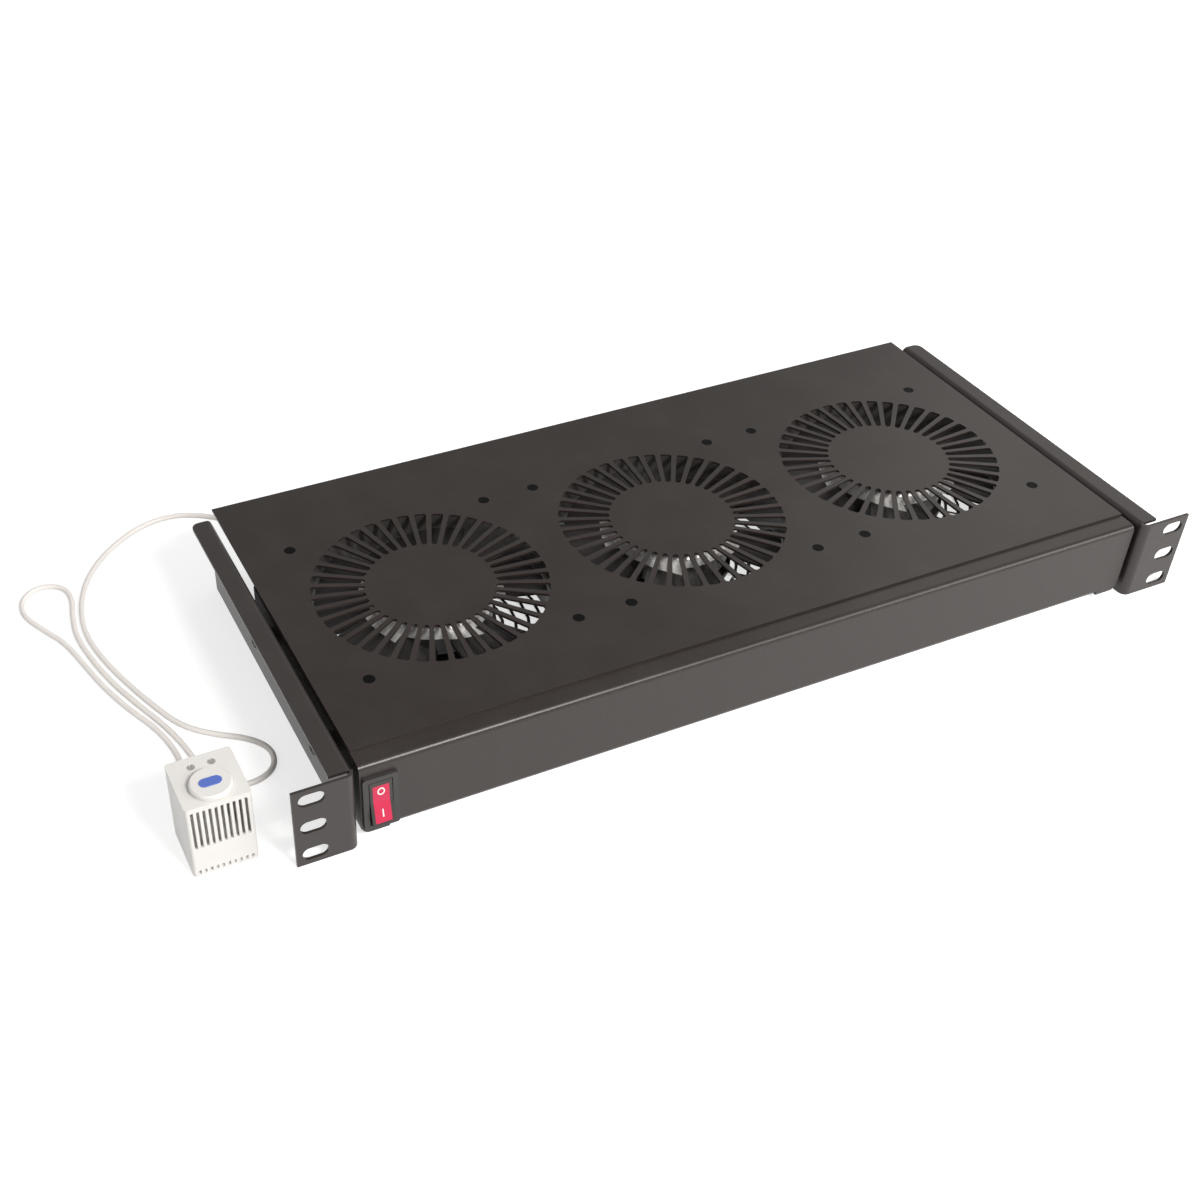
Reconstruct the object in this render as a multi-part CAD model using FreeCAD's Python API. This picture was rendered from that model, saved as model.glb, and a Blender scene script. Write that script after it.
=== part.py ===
import FreeCAD, Part
import math
import os

# Rack fan tray, one rack unit high: a sheet-metal box with three axial fans under a pierced top
# plate, two side brackets with rack ears, a rocker switch, a mains inlet and a lead to a small
# thermostat. Millimetres, X to the right, Y to the back, Z up. The origin is the centre of the
# hole pattern of the two ears, on their rear faces, which seat on the rack.

Vector = FreeCAD.Vector
UP = Vector(0, 0, 1)

# ---------------------------------------------------------------- driving sizes
EAR_SPAN = 482.6           # over both ears
EAR_HEIGHT = 43.6          # one rack unit less its clearance
HOLE_PITCH_X = 465.1       # between the two columns of slots
HOLE_STEP = 15.875         # between the slots of one ear
HOLE_COUNT = 3             # slots in each ear
EAR_SLOT_LENGTH = 12.0
EAR_SLOT_WIDTH = 6.8

TRAY_WIDTH = 420.0
TRAY_DEPTH = 204.0
TRAY_HEIGHT = 41.0
TRAY_RISE = 0.4            # top plate above the top edge of the ears
PANEL_SETBACK = 2.5        # front panel behind the rear faces of the ears
PLATE_SHEET = 1.2
PANEL_SHEET = 1.5
BRACKET_SHEET = 1.5
BEND = 1.5                 # inside radius of the small folds

# ---------------------------------------------------------------- side brackets
BRACKET_GAP = 2.7          # between a side rail and the bracket beside it
BRACKET_LENGTH = 196.0     # web, behind the front panel's face
BRACKET_BEND = 2.5         # inside radius between ear and web
FLANGE_REACH = 10.8        # top flange, outward from the web's inner face
FLANGE_CORNER = 4.0
MOUNT_FRONT = 43.0         # first bracket screw behind the panel's face
MOUNT_SPACING = 81.0       # between the two screws of one bracket
MOUNT_DROP = 24.2          # bracket screws below the top plate's top
MOUNT_SLOT_LENGTH = 30.0   # slot of a side rail in which the bracket slides when loosened
MOUNT_SLOT_OFFSET = -4.0   # middle of that slot from its screw
M4 = 4.0
M4_CLEARANCE = 0.5         # added to a screw's diameter for its hole
PAN_HEAD = 8.0
PAN_HEAD_HEIGHT = 2.6
PAN_HEAD_BEVEL = 1.0
HEX_SOCKET = 2.5           # across flats
HEX_SOCKET_DEPTH = 1.4
SPACER_DIAMETER = 9.0
NUT_FLATS = 7.0
NUT_HEIGHT = 3.2
NUT_FLANGE = 10.0
NUT_FLANGE_HEIGHT = 1.0
THREAD_END = 1.0           # screw beyond its nut

# ---------------------------------------------------------------- box of the tray
RAIL_DEPTH = 138.0         # side rails, from the panel's face back
RAIL_FAN_GAP = 1.0         # side rails' top flanges to the fans beside them
RAIL_BOTTOM_FLANGE = 10.0
REAR_INSET = 22.0          # rear panel's ends from the sides: the rear corners are open
REAR_TOP_FLANGE = 14.0
REAR_BOTTOM_FLANGE = 10.0
LIP_DEPTH = 24.0           # front panel's top lip, which runs under the top plate
LIP_SHOW = 10.3            # part of the lip ahead of the top plate
RETURN_DEPTH = 10.0        # front panel's bottom return
RETURN_INSET = 13.0
PANEL_CORNER = 4.0         # lower corners of the front panel
SHEET_GAP = 0.3            # between sheet edges that don't touch
STUD_X = (-150.0, -50.0, 50.0, 150.0)
STUD_INSET = 17.5          # weld studs behind the panel's face

# ---------------------------------------------------------------- fans
FAN_COUNT = 3
FAN_SIZE = 120.0
FAN_GAP_SHARE = 0.65       # room between two fans, as a part of all room divided by their number
FAN_HEIGHT = 25.0
FAN_RIM = 2.5              # square flange beyond the bore, at the middle of a side
FAN_WALL = 2.0
FAN_FLANGE = 3.6
FAN_CORNER = 6.0
FAN_HOLE_INSET = 7.5       # screw holes from the flange's sides
STRUT_COUNT = 4
STRUT_WIDTH = 5.0
STRUT_HEIGHT = 3.5
STRUT_TURN = 20.0          # first strut from +X, degrees
MOTOR_BASE = 64.0
MOTOR_BASE_HEIGHT = 3.0
MOTOR_BOSS = 40.0
HUB_DIAMETER = 60.0
HUB_WALL = 2.0
HUB_DROP = 3.6             # hub below the top plate's top surface
HUB_HEIGHT = 16.0
HUB_BEVEL = 1.2
SHAFT_DIAMETER = 4.0
BEARING_CLEARANCE = 0.04   # radial
BEARING_WALL = 3.0
BEARING_HEADROOM = 1.6     # between the bearing tube's top and the hub's roof
SHAFT_END_GAP = 0.05
STATOR_GAP = 1.5           # stator to the hub's inner wall
STATOR_HEIGHT = 10.0
BLADE_COUNT = 5
BLADE_TIP_GAP = 1.0
BLADE_THICKNESS = 1.2
BLADE_ROOT_CHORD = 34.0
BLADE_TIP_CHORD = 56.0
BLADE_ROOT_PITCH = 22.0    # from level, degrees
BLADE_TIP_PITCH = 12.0
BLADE_ROOT_SUNK = 8.0      # root section inside the hub's wall, before the blade is trimmed to it
BLADE_CAMBER = 2.0
BLADE_RISE = 11.0          # middle of the blades above the frame's struts
BLADE_TURN = (3.0, 36.0, 36.0)    # rest angle of each rotor's first blade, degrees

# ---------------------------------------------------------------- grilles of the top plate
GRILLE_SLOTS = 40
GRILLE_HUB_MARGIN = 1.5    # inner ends of the slots beyond the hub; the outer ends meet the bore
GRILLE_BAR_INNER = 2.1     # bar between two slots, at their inner ends
GRILLE_BAR_OUTER = 2.9
GRILLE_CORNER = 0.9        # cut across each corner of a slot

# ---------------------------------------------------------------- finger guards
WIRE = 1.6
GUARD_RING_COUNT = 7
GUARD_INNER_RING = 16.0    # radius
GUARD_RIM_INSET = 2.5      # outer ring inside the bore
RING_SIDES = 24            # short straight runs of each ring
GUARD_EYE = 9.0
GUARD_EYE_THICKNESS = 2.0
GUARD_WELD = 0.3           # wires pressed into each other where they are welded

# ---------------------------------------------------------------- fan screws
HEAD_DIAMETER = 5.8        # countersunk, flush with the top plate

# ---------------------------------------------------------------- rocker switch
SWITCH_INSET = 9.0         # middle, from the left side
SWITCH_DROP = 23.3         # centre below the top plate's top
BEZEL_WIDTH = 16.4
BEZEL_HEIGHT = 30.0
BEZEL_THICKNESS = 1.6
BEZEL_CORNER = 1.2
SWITCH_WIDTH = 14.8        # body behind the panel
SWITCH_HEIGHT = 27.4
SWITCH_DEPTH = 18.0
SWITCH_FIT = 0.1           # body in the panel's cut-out, each side
ROCKER_WIDTH = 10.4
ROCKER_HEIGHT = 23.2
ROCKER_GAP = 0.35          # rocker to bezel, each side
ROCKER_END_GAP = 0.95      # rocker to bezel, above and below, for the swing
ROCKER_FLOOR_GAP = 0.5     # rocker's back to the pocket's floor
ROCKER_DEPTH = 7.0         # pocket behind the bezel's face
ROCKER_PIVOT = 4.2         # pivot behind the bezel's face
ROCKER_SWING = 7.0         # each way from the middle, degrees
ROCKER_STAND = 1.4         # ends ahead of the bezel's face, in the middle position
ROCKER_DISH = 1.2          # front face's hollow at the middle
PIVOT_DIAMETER = 2.0
PIVOT_CLEARANCE = 0.05
PIVOT_REACH = 1.4
TAB_WIDTH = 4.8
TAB_THICKNESS = 0.8
TAB_LENGTH = 8.0
TAB_SPACING = 9.0

# ---------------------------------------------------------------- mains inlet
INLET_INSET = 82.0         # middle, from the left side
INLET_FLANGE_WIDTH = 31.0
INLET_FLANGE_HEIGHT = 24.0
INLET_FLANGE_THICKNESS = 2.6
INLET_FLANGE_CORNER = 2.0
INLET_WIDTH = 27.4
INLET_HEIGHT = 19.8
INLET_DEPTH = 16.5
INLET_CORNER = 3.0
SOCKET_WIDTH = 24.0
SOCKET_HEIGHT = 16.4
SOCKET_DEPTH = 16.0
PIN_WIDTH = 4.0
PIN_THICKNESS = 2.0
PIN_LENGTH = 10.5
PIN_SPACING = 14.0
PIN_STAGGER = 4.0

# ---------------------------------------------------------------- cable and its grommet
CABLE_DIAMETER = 2.8
CABLE_SIDES = 8            # flats of the plain solid that stands for the cable
GROMMET_INSET = 13.0       # from the rear panel's end
GROMMET_DROP = 24.0        # below the top plate's top
GROMMET_HOLE = 8.0
GROMMET_LIP = 1.4
GROMMET_LIP_RADIAL = 1.8

# ---------------------------------------------------------------- terminal block under the plate
TERMINAL_X = -62.0
TERMINAL_GAP = 4.0         # to the fans in front and the rear panel's flange behind
TERMINAL_WAYS = 5
TERMINAL_STEP = 10.0
TERMINAL_HEIGHT = 9.0
TERMINAL_BARREL = 7.0      # square collar round each screw
TERMINAL_BARREL_HEIGHT = 5.0
TERMINAL_WELL = 4.0
TERMINAL_WELL_DEPTH = 6.0

# ---------------------------------------------------------------- thermostat on the floor
THERMOSTAT_X = -268.5
THERMOSTAT_FRONT = 11.0    # front face behind the origin
THERMOSTAT_WIDTH = 29.0
THERMOSTAT_DEPTH = 30.0
THERMOSTAT_HEIGHT = 40.0
THERMOSTAT_ROUND = 1.5
THERMOSTAT_WALL = 1.5
BASE_HEIGHT = 8.0
SPIGOT_HEIGHT = 3.0        # of the base, inside the cover
SPIGOT_FIT = 0.05
BASE_SLITS = 10
BASE_SLIT_WIDTH = 1.2
BASE_SLIT_HEIGHT = 2.2
BASE_SLIT_RISE = 1.2       # above the floor
VENT_COUNT = 10
VENT_DEPTH = 2.0
VENT_WIDTH = 1.3
VENT_HEIGHT = 21.0
VENT_DROP = 2.6            # below the top
VENT_STEP = 2.6
DIAL_DIAMETER = 18.5
DIAL_HEIGHT = 2.2
DIAL_BACK = -5.0           # dial's centre from the middle, towards the back
DIAL_SEAT_GAP = 0.3
DIAL_SHAFT = 6.0
DIAL_SHAFT_LENGTH = 9.0
DIAL_CLEARANCE = 0.05
DIAL_BEVEL = 0.7
DIAL_SLOT = 1.6            # screwdriver slot
DIAL_SLOT_LENGTH = 8.0
DIAL_SLOT_DEPTH = 1.0
CLAMP_SCREW = 3.6
CLAMP_SPREAD = 9.0
CLAMP_BACK = 8.8           # clamp screws behind the middle
CLAMP_RECESS = 0.8
CLAMP_SLOT = 0.6
INLET_BUSH = 5.0           # cable bush in the thermostat's back
INLET_BUSH_LENGTH = 3.0
INLET_BUSH_RISE = 5.0
CABLE_ENTRY_OFFSET = -1.5  # from the thermostat's middle

# ---------------------------------------------------------------- derived places
TOP = EAR_HEIGHT / 2 + TRAY_RISE
UNDER_PLATE = TOP - PLATE_SHEET
BOTTOM = TOP - TRAY_HEIGHT
FLOOR = -EAR_HEIGHT / 2
SIDE = TRAY_WIDTH / 2
FACE = PANEL_SETBACK
BACK = FACE + TRAY_DEPTH
PANEL_BACK = FACE + PANEL_SHEET
WEB_INNER = SIDE + BRACKET_GAP
WEB_OUTER = WEB_INNER + BRACKET_SHEET
EAR_FACE = -BRACKET_SHEET
EAR_TOP = EAR_HEIGHT / 2
MOUNT_Y = (FACE + MOUNT_FRONT, FACE + MOUNT_FRONT + MOUNT_SPACING)
MOUNT_Z = TOP - MOUNT_DROP
RAIL_INNER = SIDE - PLATE_SHEET
REAR_HALF = SIDE - REAR_INSET
SWITCH_X = -SIDE + SWITCH_INSET
INLET_X = -SIDE + INLET_INSET
FAN_BORE = FAN_SIZE - 2 * FAN_RIM
FAN_HOLE_PITCH = FAN_SIZE - 2 * FAN_HOLE_INSET
FAN_ROOM = TRAY_WIDTH - FAN_COUNT * FAN_SIZE
FAN_PITCH = FAN_SIZE + FAN_GAP_SHARE * FAN_ROOM / FAN_COUNT
FAN_Y = FACE + TRAY_DEPTH / 2
FAN_X = [(i - (FAN_COUNT - 1) / 2) * FAN_PITCH for i in range(FAN_COUNT)]
FAN_BACK = FAN_Y + FAN_SIZE / 2
FAN_EDGE = FAN_X[-1] + FAN_SIZE / 2
RAIL_TOP_FLANGE = SIDE - FAN_EDGE - RAIL_FAN_GAP
FAN_TOP = UNDER_PLATE
FAN_BOTTOM = FAN_TOP - FAN_HEIGHT
GUARD_BOTTOM = FAN_BOTTOM - GUARD_EYE_THICKNESS
HUB_TOP = TOP - HUB_DROP
HUB_BOTTOM = HUB_TOP - HUB_HEIGHT
HUB_ROOF = HUB_TOP - HUB_WALL
MOTOR_BASE_TOP = FAN_BOTTOM + MOTOR_BASE_HEIGHT
BLADE_TIP = FAN_BORE / 2 - BLADE_TIP_GAP
GRILLE_INNER = HUB_DIAMETER / 2 + GRILLE_HUB_MARGIN
GRILLE_OUTER = FAN_BORE / 2
GUARD_OUTER_RING = FAN_BORE / 2 - GUARD_RIM_INSET
GUARD_RING_STEP = (GUARD_OUTER_RING - GUARD_INNER_RING) / (GUARD_RING_COUNT - 1)
BLADE_MIDDLE = FAN_BOTTOM + STRUT_HEIGHT + BLADE_RISE
STATOR_DIAMETER = HUB_DIAMETER - 2 * (HUB_WALL + STATOR_GAP)
STUD_Y = FACE + STUD_INSET
SWITCH_Z = TOP - SWITCH_DROP
BEZEL_FACE = FACE - BEZEL_THICKNESS
GROMMET_X = -(REAR_HALF - GROMMET_INSET)
GROMMET_Z = TOP - GROMMET_DROP
GROMMET_BACK = BACK + GROMMET_LIP
TERMINAL_Y = (FAN_BACK + BACK - REAR_TOP_FLANGE) / 2
TERMINAL_DEPTH = BACK - REAR_TOP_FLANGE - FAN_BACK - 2 * TERMINAL_GAP
THERMOSTAT_Y = THERMOSTAT_FRONT + THERMOSTAT_DEPTH / 2
THERMOSTAT_BACK = THERMOSTAT_FRONT + THERMOSTAT_DEPTH
THERMOSTAT_TOP = FLOOR + THERMOSTAT_HEIGHT
DIAL_Y = THERMOSTAT_Y + DIAL_BACK
CABLE_Z = FLOOR + CABLE_DIAMETER / 2
CABLE_ENTRY_X = THERMOSTAT_X + CABLE_ENTRY_OFFSET
CABLE_ENTRY_Z = FLOOR + INLET_BUSH_RISE
BUSH_BACK = THERMOSTAT_BACK + INLET_BUSH_LENGTH / 2


# ---------------------------------------------------------------- shapes
def box(x0, x1, y0, y1, z0, z1):
    """Block between two limits on each axis."""
    return Part.makeBox(x1 - x0, y1 - y0, z1 - z0, Vector(x0, y0, z0))


def rod(start, direction, diameter, length):
    """Cylinder that begins at a point and runs along a direction."""
    return Part.makeCylinder(diameter / 2, length, start, direction)


def rounded_edges(points, radii, closed):
    """Straight runs through points, joined by arcs of the given radii that touch both runs."""
    count = len(points)
    before = list(points)
    after = list(points)
    arcs = [None] * count
    for i in range(count):
        if radii[i] > 0:
            inward = (points[i] - points[i - 1]).normalize()
            outward = (points[(i + 1) % count] - points[i]).normalize()
            half = inward.getAngle(outward) / 2
            before[i] = points[i] - inward * (radii[i] * math.tan(half))
            after[i] = points[i] + outward * (radii[i] * math.tan(half))
            bisector = (outward - inward).normalize()
            middle = points[i] + bisector * (radii[i] / math.cos(half) - radii[i])
            arcs[i] = Part.Arc(before[i], middle, after[i]).toShape()
    edges = []
    for i in range(count):
        if arcs[i]:
            edges.append(arcs[i])
        follower = (i + 1) % count
        if (closed or follower) and (before[follower] - after[i]).Length > 1e-6:
            edges.append(Part.LineSegment(after[i], before[follower]).toShape())
    return edges


def outline(points, radii=None):
    """Face inside a closed outline in the XY plane, given as (u, v) pairs."""
    corners = [Vector(u, v, 0) for u, v in points]
    return Part.Face(Part.Wire(rounded_edges(corners, radii or [0] * len(points), True)))


def lay(face, plane, start, end):
    """Extrude an XY face and turn it so that it is seen along X, Y or Z, between two limits."""
    if plane == "YZ":
        solid = face.extrude(UP * (end - start))
        solid.rotate(Vector(0, 0, 0), Vector(1, 1, 1), 120)
        solid.translate(Vector(start, 0, 0))
    elif plane == "XZ":
        solid = face.extrude(UP * (end - start))
        solid.rotate(Vector(0, 0, 0), Vector(1, 0, 0), 90)
        solid.translate(Vector(0, end, 0))
    else:
        solid = face.extrude(UP * (end - start))
        solid.translate(Vector(0, 0, start))
    return solid


def folded_sheet(points, thickness, bend, plane, start, end):
    """Folded sheet whose one face follows the points, with its thickness to their left."""
    count = len(points)
    path = [Vector(u, v, 0) for u, v in points]
    runs = [(path[i + 1] - path[i]).normalize() for i in range(count - 1)]
    sides = [UP.cross(run) * thickness for run in runs]
    other = [path[0] + sides[0]]
    near_radii = [0]
    far_radii = [0]
    for i in range(1, count - 1):
        other.append(path[i] + sides[i - 1] + sides[i])
        inner_is_far = UP.dot(runs[i - 1].cross(runs[i])) > 0
        near_radii.append(bend + thickness if inner_is_far else bend)
        far_radii.append(bend if inner_is_far else bend + thickness)
    other.append(path[-1] + sides[-1])
    near_radii.append(0)
    far_radii.append(0)
    corners = [(p.x, p.y) for p in path + other[::-1]]
    return lay(outline(corners, near_radii + far_radii[::-1]), plane, start, end)


def revolved(profile, centre):
    """Solid of revolution about the upright axis through a centre, from (radius, z) pairs."""
    face = outline(profile)
    face.rotate(Vector(0, 0, 0), Vector(1, 0, 0), 90)
    solid = face.revolve(Vector(0, 0, 0), UP, 360)
    solid.translate(Vector(centre[0], centre[1], 0))
    return solid


def rounded_block(x, y, width, depth, corner, z0, z1):
    """Upright block about a centre with its four upright edges rounded."""
    a = width / 2
    b = depth / 2
    corners = [(x - a, y - b), (x + a, y - b), (x + a, y + b), (x - a, y + b)]
    return lay(outline(corners, [corner] * 4), "XY", z0, z1)


def obround(u, v, length, width, plane, start, end):
    """Slot with round ends, its long side along the plane's first direction."""
    reach = (length - width) / 2
    r = width / 2
    left = Part.Arc(Vector(u - reach, v + r, 0), Vector(u - reach - r, v, 0), Vector(u - reach, v - r, 0))
    right = Part.Arc(Vector(u + reach, v - r, 0), Vector(u + reach + r, v, 0), Vector(u + reach, v + r, 0))
    low = Part.LineSegment(Vector(u - reach, v - r, 0), Vector(u + reach, v - r, 0))
    high = Part.LineSegment(Vector(u + reach, v + r, 0), Vector(u - reach, v + r, 0))
    wire = Part.Wire([left.toShape(), low.toShape(), right.toShape(), high.toShape()])
    return lay(Part.Face(wire), plane, start, end)


def hexagon(centre, direction, flats, height):
    """Hexagonal prism along a direction."""
    radius = flats / math.sqrt(3)
    corners = [(radius * math.cos(math.radians(60 * i)), radius * math.sin(math.radians(60 * i)))
               for i in range(6)]
    prism = lay(outline(corners), "XY", 0, height)
    prism.Placement = FreeCAD.Placement(centre, FreeCAD.Rotation(UP, direction))
    return prism


def mirrored(shape):
    """The same shape on the other side of the tray."""
    return shape.mirror(Vector(0, 0, 0), Vector(1, 0, 0))


def corners_of(x):
    """The four screw places of the fan at x."""
    reach = FAN_HOLE_PITCH / 2
    return [(x + i * reach, FAN_Y + j * reach) for i, j in ((-1, -1), (1, -1), (1, 1), (-1, 1))]


def save(name, solids):
    """Write one node, which may hold several separate solids."""
    shape = solids[0] if len(solids) == 1 else Part.makeCompound(solids)
    shape.exportStep("parts/" + name + ".step")
    if not shape.isValid():
        print("not valid:", name)


# ---------------------------------------------------------------- top plate and box
def radial_slots(x):
    """Tapered slots of one grille with cut corners; the bars between them widen outward."""
    step = 360.0 / GRILLE_SLOTS
    half_step = math.radians(step / 2)
    inner = GRILLE_INNER * math.sin(half_step) - GRILLE_BAR_INNER / 2
    outer = GRILLE_OUTER * math.sin(half_step) - GRILLE_BAR_OUTER / 2
    cut = GRILLE_CORNER
    side = [(GRILLE_INNER, inner - cut), (GRILLE_INNER + cut, inner), (GRILLE_OUTER - cut, outer),
            (GRILLE_OUTER, outer - cut)]
    points = side + [(u, -v) for u, v in side[::-1]]
    slot = lay(outline(points), "XY", UNDER_PLATE - PLATE_SHEET, TOP + PLATE_SHEET)
    slots = []
    for i in range(GRILLE_SLOTS):
        copy = slot.copy()
        copy.rotate(Vector(0, 0, 0), UP, step * i)
        copy.translate(Vector(x, FAN_Y, 0))
        slots.append(copy)
    return slots


def countersunk(place, length, head, shank):
    """Countersunk screw, or its hole, flush with the top plate."""
    cone = (head - shank) / 2
    profile = [(0, TOP), (head / 2, TOP), (shank / 2, TOP - cone), (shank / 2, TOP - length),
               (0, TOP - length)]
    return revolved(profile, place)


def top_plate():
    """Flat plate with the three pierced grilles and the fan screws' countersunk holes."""
    plate = box(-SIDE, SIDE, FACE + LIP_SHOW, BACK, UNDER_PLATE, TOP)
    cuts = []
    for x in FAN_X:
        cuts += radial_slots(x)
        cuts += [countersunk(place, 2 * PLATE_SHEET, HEAD_DIAMETER, M4) for place in corners_of(x)]
    return plate.cut(Part.makeCompound(cuts))


def front_panel():
    """Folded front: lip under the top plate, face, and a shorter return at the bottom."""
    face = [(FACE + LIP_DEPTH, UNDER_PLATE), (FACE, UNDER_PLATE), (FACE, BOTTOM)]
    whole = folded_sheet(face, PANEL_SHEET, BEND, "YZ", -SIDE, SIDE)
    shield = [(-SIDE, BOTTOM), (SIDE, BOTTOM), (SIDE, TOP), (-SIDE, TOP)]
    corners = [PANEL_CORNER, PANEL_CORNER, 0, 0]
    whole = whole.common(lay(outline(shield, corners), "XZ", FACE - 1, FACE + LIP_DEPTH + 1))
    half = SIDE - RETURN_INSET
    trim = BEND + PANEL_SHEET
    whole = whole.cut(box(-half, half, FACE - 1, PANEL_BACK + 1, BOTTOM - 1, BOTTOM + trim))
    foot = [(FACE, BOTTOM + trim), (FACE, BOTTOM), (FACE + RETURN_DEPTH, BOTTOM)]
    whole = whole.fuse(folded_sheet(foot, PANEL_SHEET, BEND, "YZ", -half, half)).removeSplitter()
    opening = box(SWITCH_X - SWITCH_WIDTH / 2 - SWITCH_FIT, SWITCH_X + SWITCH_WIDTH / 2 + SWITCH_FIT,
                  FACE - 1, PANEL_BACK + 1,
                  SWITCH_Z - SWITCH_HEIGHT / 2 - SWITCH_FIT, SWITCH_Z + SWITCH_HEIGHT / 2 + SWITCH_FIT)
    holes = [rod(Vector(x, STUD_Y, UNDER_PLATE - 2 * PANEL_SHEET), UP, M4 + M4_CLEARANCE,
                 3 * PANEL_SHEET) for x in STUD_X]
    return whole.cut(Part.makeCompound([opening] + holes))


def side_rail():
    """Right side rail: a channel under the plate's edge, notched for the front panel's lip."""
    path = [(SIDE - RAIL_BOTTOM_FLANGE, BOTTOM), (SIDE, BOTTOM), (SIDE, UNDER_PLATE),
            (SIDE - RAIL_TOP_FLANGE, UNDER_PLATE)]
    rail = folded_sheet(path, PLATE_SHEET, BEND, "XZ", PANEL_BACK, FACE + RAIL_DEPTH)
    notch_top = UNDER_PLATE - PANEL_SHEET - BEND
    cuts = [box(SIDE - RAIL_TOP_FLANGE - 1, SIDE + 1, FACE, FACE + LIP_DEPTH + SHEET_GAP,
                notch_top, TOP)]
    for y in MOUNT_Y:
        cuts.append(obround(y + MOUNT_SLOT_OFFSET, MOUNT_Z, MOUNT_SLOT_LENGTH, M4 + M4_CLEARANCE,
                            "YZ", RAIL_INNER - 1, SIDE + 1))
    return rail.cut(Part.makeCompound(cuts))


def rear_panel():
    """Channel along the back, between the open rear corners."""
    path = [(BACK - REAR_BOTTOM_FLANGE, BOTTOM), (BACK, BOTTOM), (BACK, UNDER_PLATE),
            (BACK - REAR_TOP_FLANGE, UNDER_PLATE)]
    panel = folded_sheet(path, PLATE_SHEET, BEND, "YZ", -REAR_HALF, REAR_HALF)
    inlet = [(INLET_X - INLET_WIDTH / 2, MOUNT_Z - INLET_HEIGHT / 2),
             (INLET_X + INLET_WIDTH / 2, MOUNT_Z - INLET_HEIGHT / 2),
             (INLET_X + INLET_WIDTH / 2, MOUNT_Z + INLET_HEIGHT / 2),
             (INLET_X - INLET_WIDTH / 2, MOUNT_Z + INLET_HEIGHT / 2)]
    opening = lay(outline(inlet), "XZ", BACK - 2 * PLATE_SHEET, BACK + 1)
    hole = rod(Vector(GROMMET_X, BACK - 2 * PLATE_SHEET, GROMMET_Z), Vector(0, 1, 0), GROMMET_HOLE,
               3 * PLATE_SHEET)
    return panel.cut(Part.makeCompound([opening, hole]))


def panel_studs():
    """Weld studs under the top plate that hold the front panel's lip."""
    length = PANEL_SHEET + NUT_HEIGHT + THREAD_END
    return [rod(Vector(x, STUD_Y, UNDER_PLATE - length), UP, M4, length) for x in STUD_X]


def nut(place, direction):
    """Plain hexagonal nut whose seat is at a place and which extends along a direction."""
    body = hexagon(place, direction, NUT_FLATS, NUT_HEIGHT)
    return body.cut(rod(place - direction, direction, M4, NUT_HEIGHT + 2))


# ---------------------------------------------------------------- brackets
def bracket():
    """Right bracket: ear, web that stands on its lower edge, and a top flange turned outward."""
    plan = [(WEB_INNER, FACE + BRACKET_LENGTH), (WEB_INNER, EAR_FACE), (EAR_SPAN / 2, EAR_FACE)]
    body = folded_sheet(plan, BRACKET_SHEET, BRACKET_BEND, "XY", FLOOR, EAR_TOP)
    fold = BRACKET_SHEET + BEND
    front = EAR_FACE + BRACKET_BEND + BRACKET_SHEET
    back = FACE + BRACKET_LENGTH
    body = body.cut(box(WEB_INNER - 1, WEB_OUTER + 1, front, back + 1, EAR_TOP - fold, EAR_TOP + 1))
    section = [(WEB_INNER + FLANGE_REACH, EAR_TOP), (WEB_INNER, EAR_TOP), (WEB_INNER, EAR_TOP - fold)]
    flange = folded_sheet(section, BRACKET_SHEET, BEND, "XZ", front, back)
    outer = WEB_INNER + FLANGE_REACH
    plan_view = [(WEB_INNER, front), (outer, front), (outer, back), (WEB_INNER, back)]
    flange = flange.common(lay(outline(plan_view, [0, 0, FLANGE_CORNER, 0]), "XY", FLOOR, TOP))
    body = body.fuse(flange).removeSplitter()
    cuts = [rod(Vector(WEB_INNER - 1, y, MOUNT_Z), Vector(1, 0, 0), M4 + M4_CLEARANCE,
                BRACKET_SHEET + 2) for y in MOUNT_Y]
    for i in range(HOLE_COUNT):
        z = (i - (HOLE_COUNT - 1) / 2) * HOLE_STEP
        cuts.append(obround(HOLE_PITCH_X / 2, z, EAR_SLOT_LENGTH, EAR_SLOT_WIDTH, "XZ",
                            EAR_FACE - 1, 1))
    return body.cut(Part.makeCompound(cuts))


def bracket_screws():
    """Pan-head screws from outside each web through the slot of the side rail."""
    screws = []
    length = BRACKET_SHEET + BRACKET_GAP + PLATE_SHEET + NUT_FLANGE_HEIGHT + NUT_HEIGHT + THREAD_END
    for y in MOUNT_Y:
        seat = Vector(WEB_OUTER, y, MOUNT_Z)
        head = rod(seat, Vector(1, 0, 0), PAN_HEAD, PAN_HEAD_HEIGHT)
        head = head.makeChamfer(PAN_HEAD_BEVEL, [head.Edges[0]])
        socket = hexagon(seat + Vector(PAN_HEAD_HEIGHT - HEX_SOCKET_DEPTH, 0, 0), Vector(1, 0, 0),
                         HEX_SOCKET, 2 * HEX_SOCKET_DEPTH)
        screw = head.cut(socket).fuse(rod(seat, Vector(-1, 0, 0), M4, length)).removeSplitter()
        screws += [screw, mirrored(screw)]
    return screws


def bracket_spacers():
    """Collars that keep each bracket off its side rail."""
    spacers = []
    for y in MOUNT_Y:
        collar = rod(Vector(SIDE, y, MOUNT_Z), Vector(1, 0, 0), SPACER_DIAMETER, BRACKET_GAP)
        collar = collar.cut(rod(Vector(SIDE - 1, y, MOUNT_Z), Vector(1, 0, 0), M4, BRACKET_GAP + 2))
        spacers += [collar, mirrored(collar)]
    return spacers


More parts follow.
